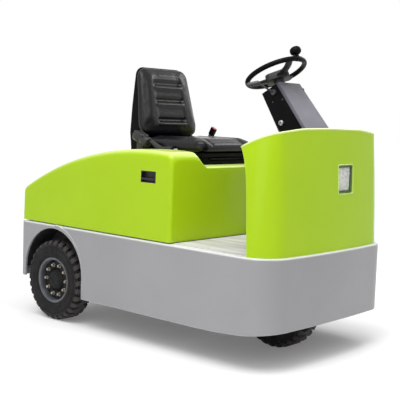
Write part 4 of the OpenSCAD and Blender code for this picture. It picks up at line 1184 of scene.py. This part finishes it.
def make_tail_lamp(side, tag):
    place = moved(-0.885, side * 0.43, 0.643) @ turned(-90, "Y")
    nodes = ["tail_lamps"] if side < 0 else []
    base = Build().prism(rounded_rectangle(0.046, 0.09, 0.012), 0.008, 0.0015, 2, place)
    base.done("tail_base_" + tag, black_plastic, "hood", "black_plastic", nodes)
    for colour, finish, width, shift in (("red", tail_red, 0.05, -0.016), ("amber", amber, 0.03, 0.026)):
        outline = rounded_rectangle(0.04, width, 0.009)
        lens = Build().prism(outline, 0.006, 0.0025, 3, place @ moved(0, side * shift, 0.006))
        lens.done("tail_" + colour + "_" + tag, finish, "hood", "tail_lens")


def make_pedal_rubbers():
    rubbers = Build()
    for y in (-0.06, -0.19):
        tilt = moved(0.712, y, 0.6) @ turned(-20, "Y")
        for k in range(6):
            z = 0.014 + 0.0145 * k
            rubbers.box((-0.004, -0.034, z - 0.004), (0.0005, 0.034, z + 0.004), 0.0015, 2, tilt)
    rubbers.done("pedal_rubbers", rubber, "chassis", "black_plastic")


def make_battery_top():
    caps = Build()
    for i in range(6):
        for k in range(4):
            x, y = -0.255 + 0.09 * i, -0.225 + 0.15 * k
            caps.box((x - 0.04, y - 0.068, 0.839), (x + 0.04, y + 0.068, 0.8425), 0.0015)
            caps.revolve([(0.016, 0.0), (0.016, 0.008), (0.013, 0.01), (0, 0.01)], 24, moved(x, y, 0.842))
    caps.done("battery_caps", dark_plastic, "chassis", "battery_case")


make_rear_bolts()
for lamp_side, lamp_tag in SIDES:
    make_tail_lamp(lamp_side, lamp_tag)
make_pedal_rubbers()
make_battery_top()


# Studio: pale floor, soft light, camera at the photograph's angle
def make_camera():
    turn, rise, roll = 41.5, 5.5096, 1.98576
    distance = 4.991
    data = bpy.data.cameras.new("camera")
    data.sensor_width = 36.0
    data.lens = 79.505
    gaze = turned(turn, "Z") @ turned(90 - rise, "X") @ turned(roll, "Z")
    scene.camera = new_object("camera", data)
    scene.camera.matrix_world = moved(0.0424, 0.0, 0.7197) @ gaze @ moved(0, 0, distance)


def aim_light(data, power, direction):
    data.energy = power
    lamp = new_object(data.name, data)
    lamp.rotation_euler = direction.to_track_quat("-Z", "Y").to_euler()
    return lamp


def soft_lamp(name, place, aim, size, power):
    data = bpy.data.lights.new(name, "AREA")
    data.shape = "SQUARE"
    data.size = size
    aim_light(data, power, Vector(aim) - Vector(place)).location = place


def seen_directly(tree):
    path = node(tree, "ShaderNodeLightPath").outputs
    level = path["Is Camera Ray"]
    for name in ("Is Transmission Ray", "Is Glossy Ray"):
        level = operate(tree, "ShaderNodeMath", "MAXIMUM", level, path[name])
    return level


def make_sky():
    scene.world = bpy.data.worlds.new("studio")
    scene.world.use_nodes = True
    tree = scene.world.node_tree
    level = span(tree, upright(tree, "Generated"), 0.25, 0.95, 0.27, 1.1, True)
    backdrop = fill(tree, tree.nodes["Background"], Color=(1, 1, 1, 1), Strength=level)
    white = node(tree, "ShaderNodeBackground", Color=(1, 1, 1, 1), Strength=1.0)
    mix = node(tree, "ShaderNodeMixShader", Fac=seen_directly(tree))
    feed(tree, mix.inputs[1], backdrop.outputs["Background"])
    feed(tree, mix.inputs[2], white.outputs["Background"])
    fill(tree, tree.nodes["World Output"], Surface=mix.outputs["Shader"])


def make_floor():
    reach = 40.0
    mesh = bpy.data.meshes.new("studio_floor")
    mesh.from_pydata([(-reach, -reach, 0), (reach, -reach, 0), (reach, reach, 0), (-reach, reach, 0)], [],
        [(0, 1, 2, 3)])
    floor = new_object("studio_floor", mesh)
    paper = surface("studio_paper", (0.86, 0.86, 0.86), (0.88, 0.88, 0.88), [(NOISE, 60, 0.0003)],
        blotch=0.4, rough=(0.9, 0.95), specular=0.1)
    tree = paper.node_tree
    level = operate(tree, "ShaderNodeMath", "MULTIPLY", seen_directly(tree), 0.14)
    glow = node(tree, "ShaderNodeEmission", Strength=level)
    both = node(tree, "ShaderNodeAddShader")
    feed(tree, both.inputs[0], tree.nodes["Principled BSDF"].outputs["BSDF"])
    feed(tree, both.inputs[1], glow.outputs["Emission"])
    fill(tree, tree.nodes["Material Output"], Surface=both.outputs["Shader"])
    mesh.materials.append(paper)


def make_studio():
    make_sky()
    make_floor()
    sun = bpy.data.lights.new("top", "SUN")
    sun.angle = math.radians(30)
    aim_light(sun, 0.95, -Vector((0.08, -0.4, 0.91)))
    soft_lamp("side", (1.3, -3.2, 1.7), (0.1, 0.0, 0.7), 2.0, 15)
    soft_lamp("well", (0.8, -0.5, 2.3), (0.3, -0.15, 0.8), 0.8, 12)
    soft_lamp("rim", (0.7, 2.2, 2.6), (-0.2, 0.0, 1.2), 0.9, 14)


make_camera()
make_studio()
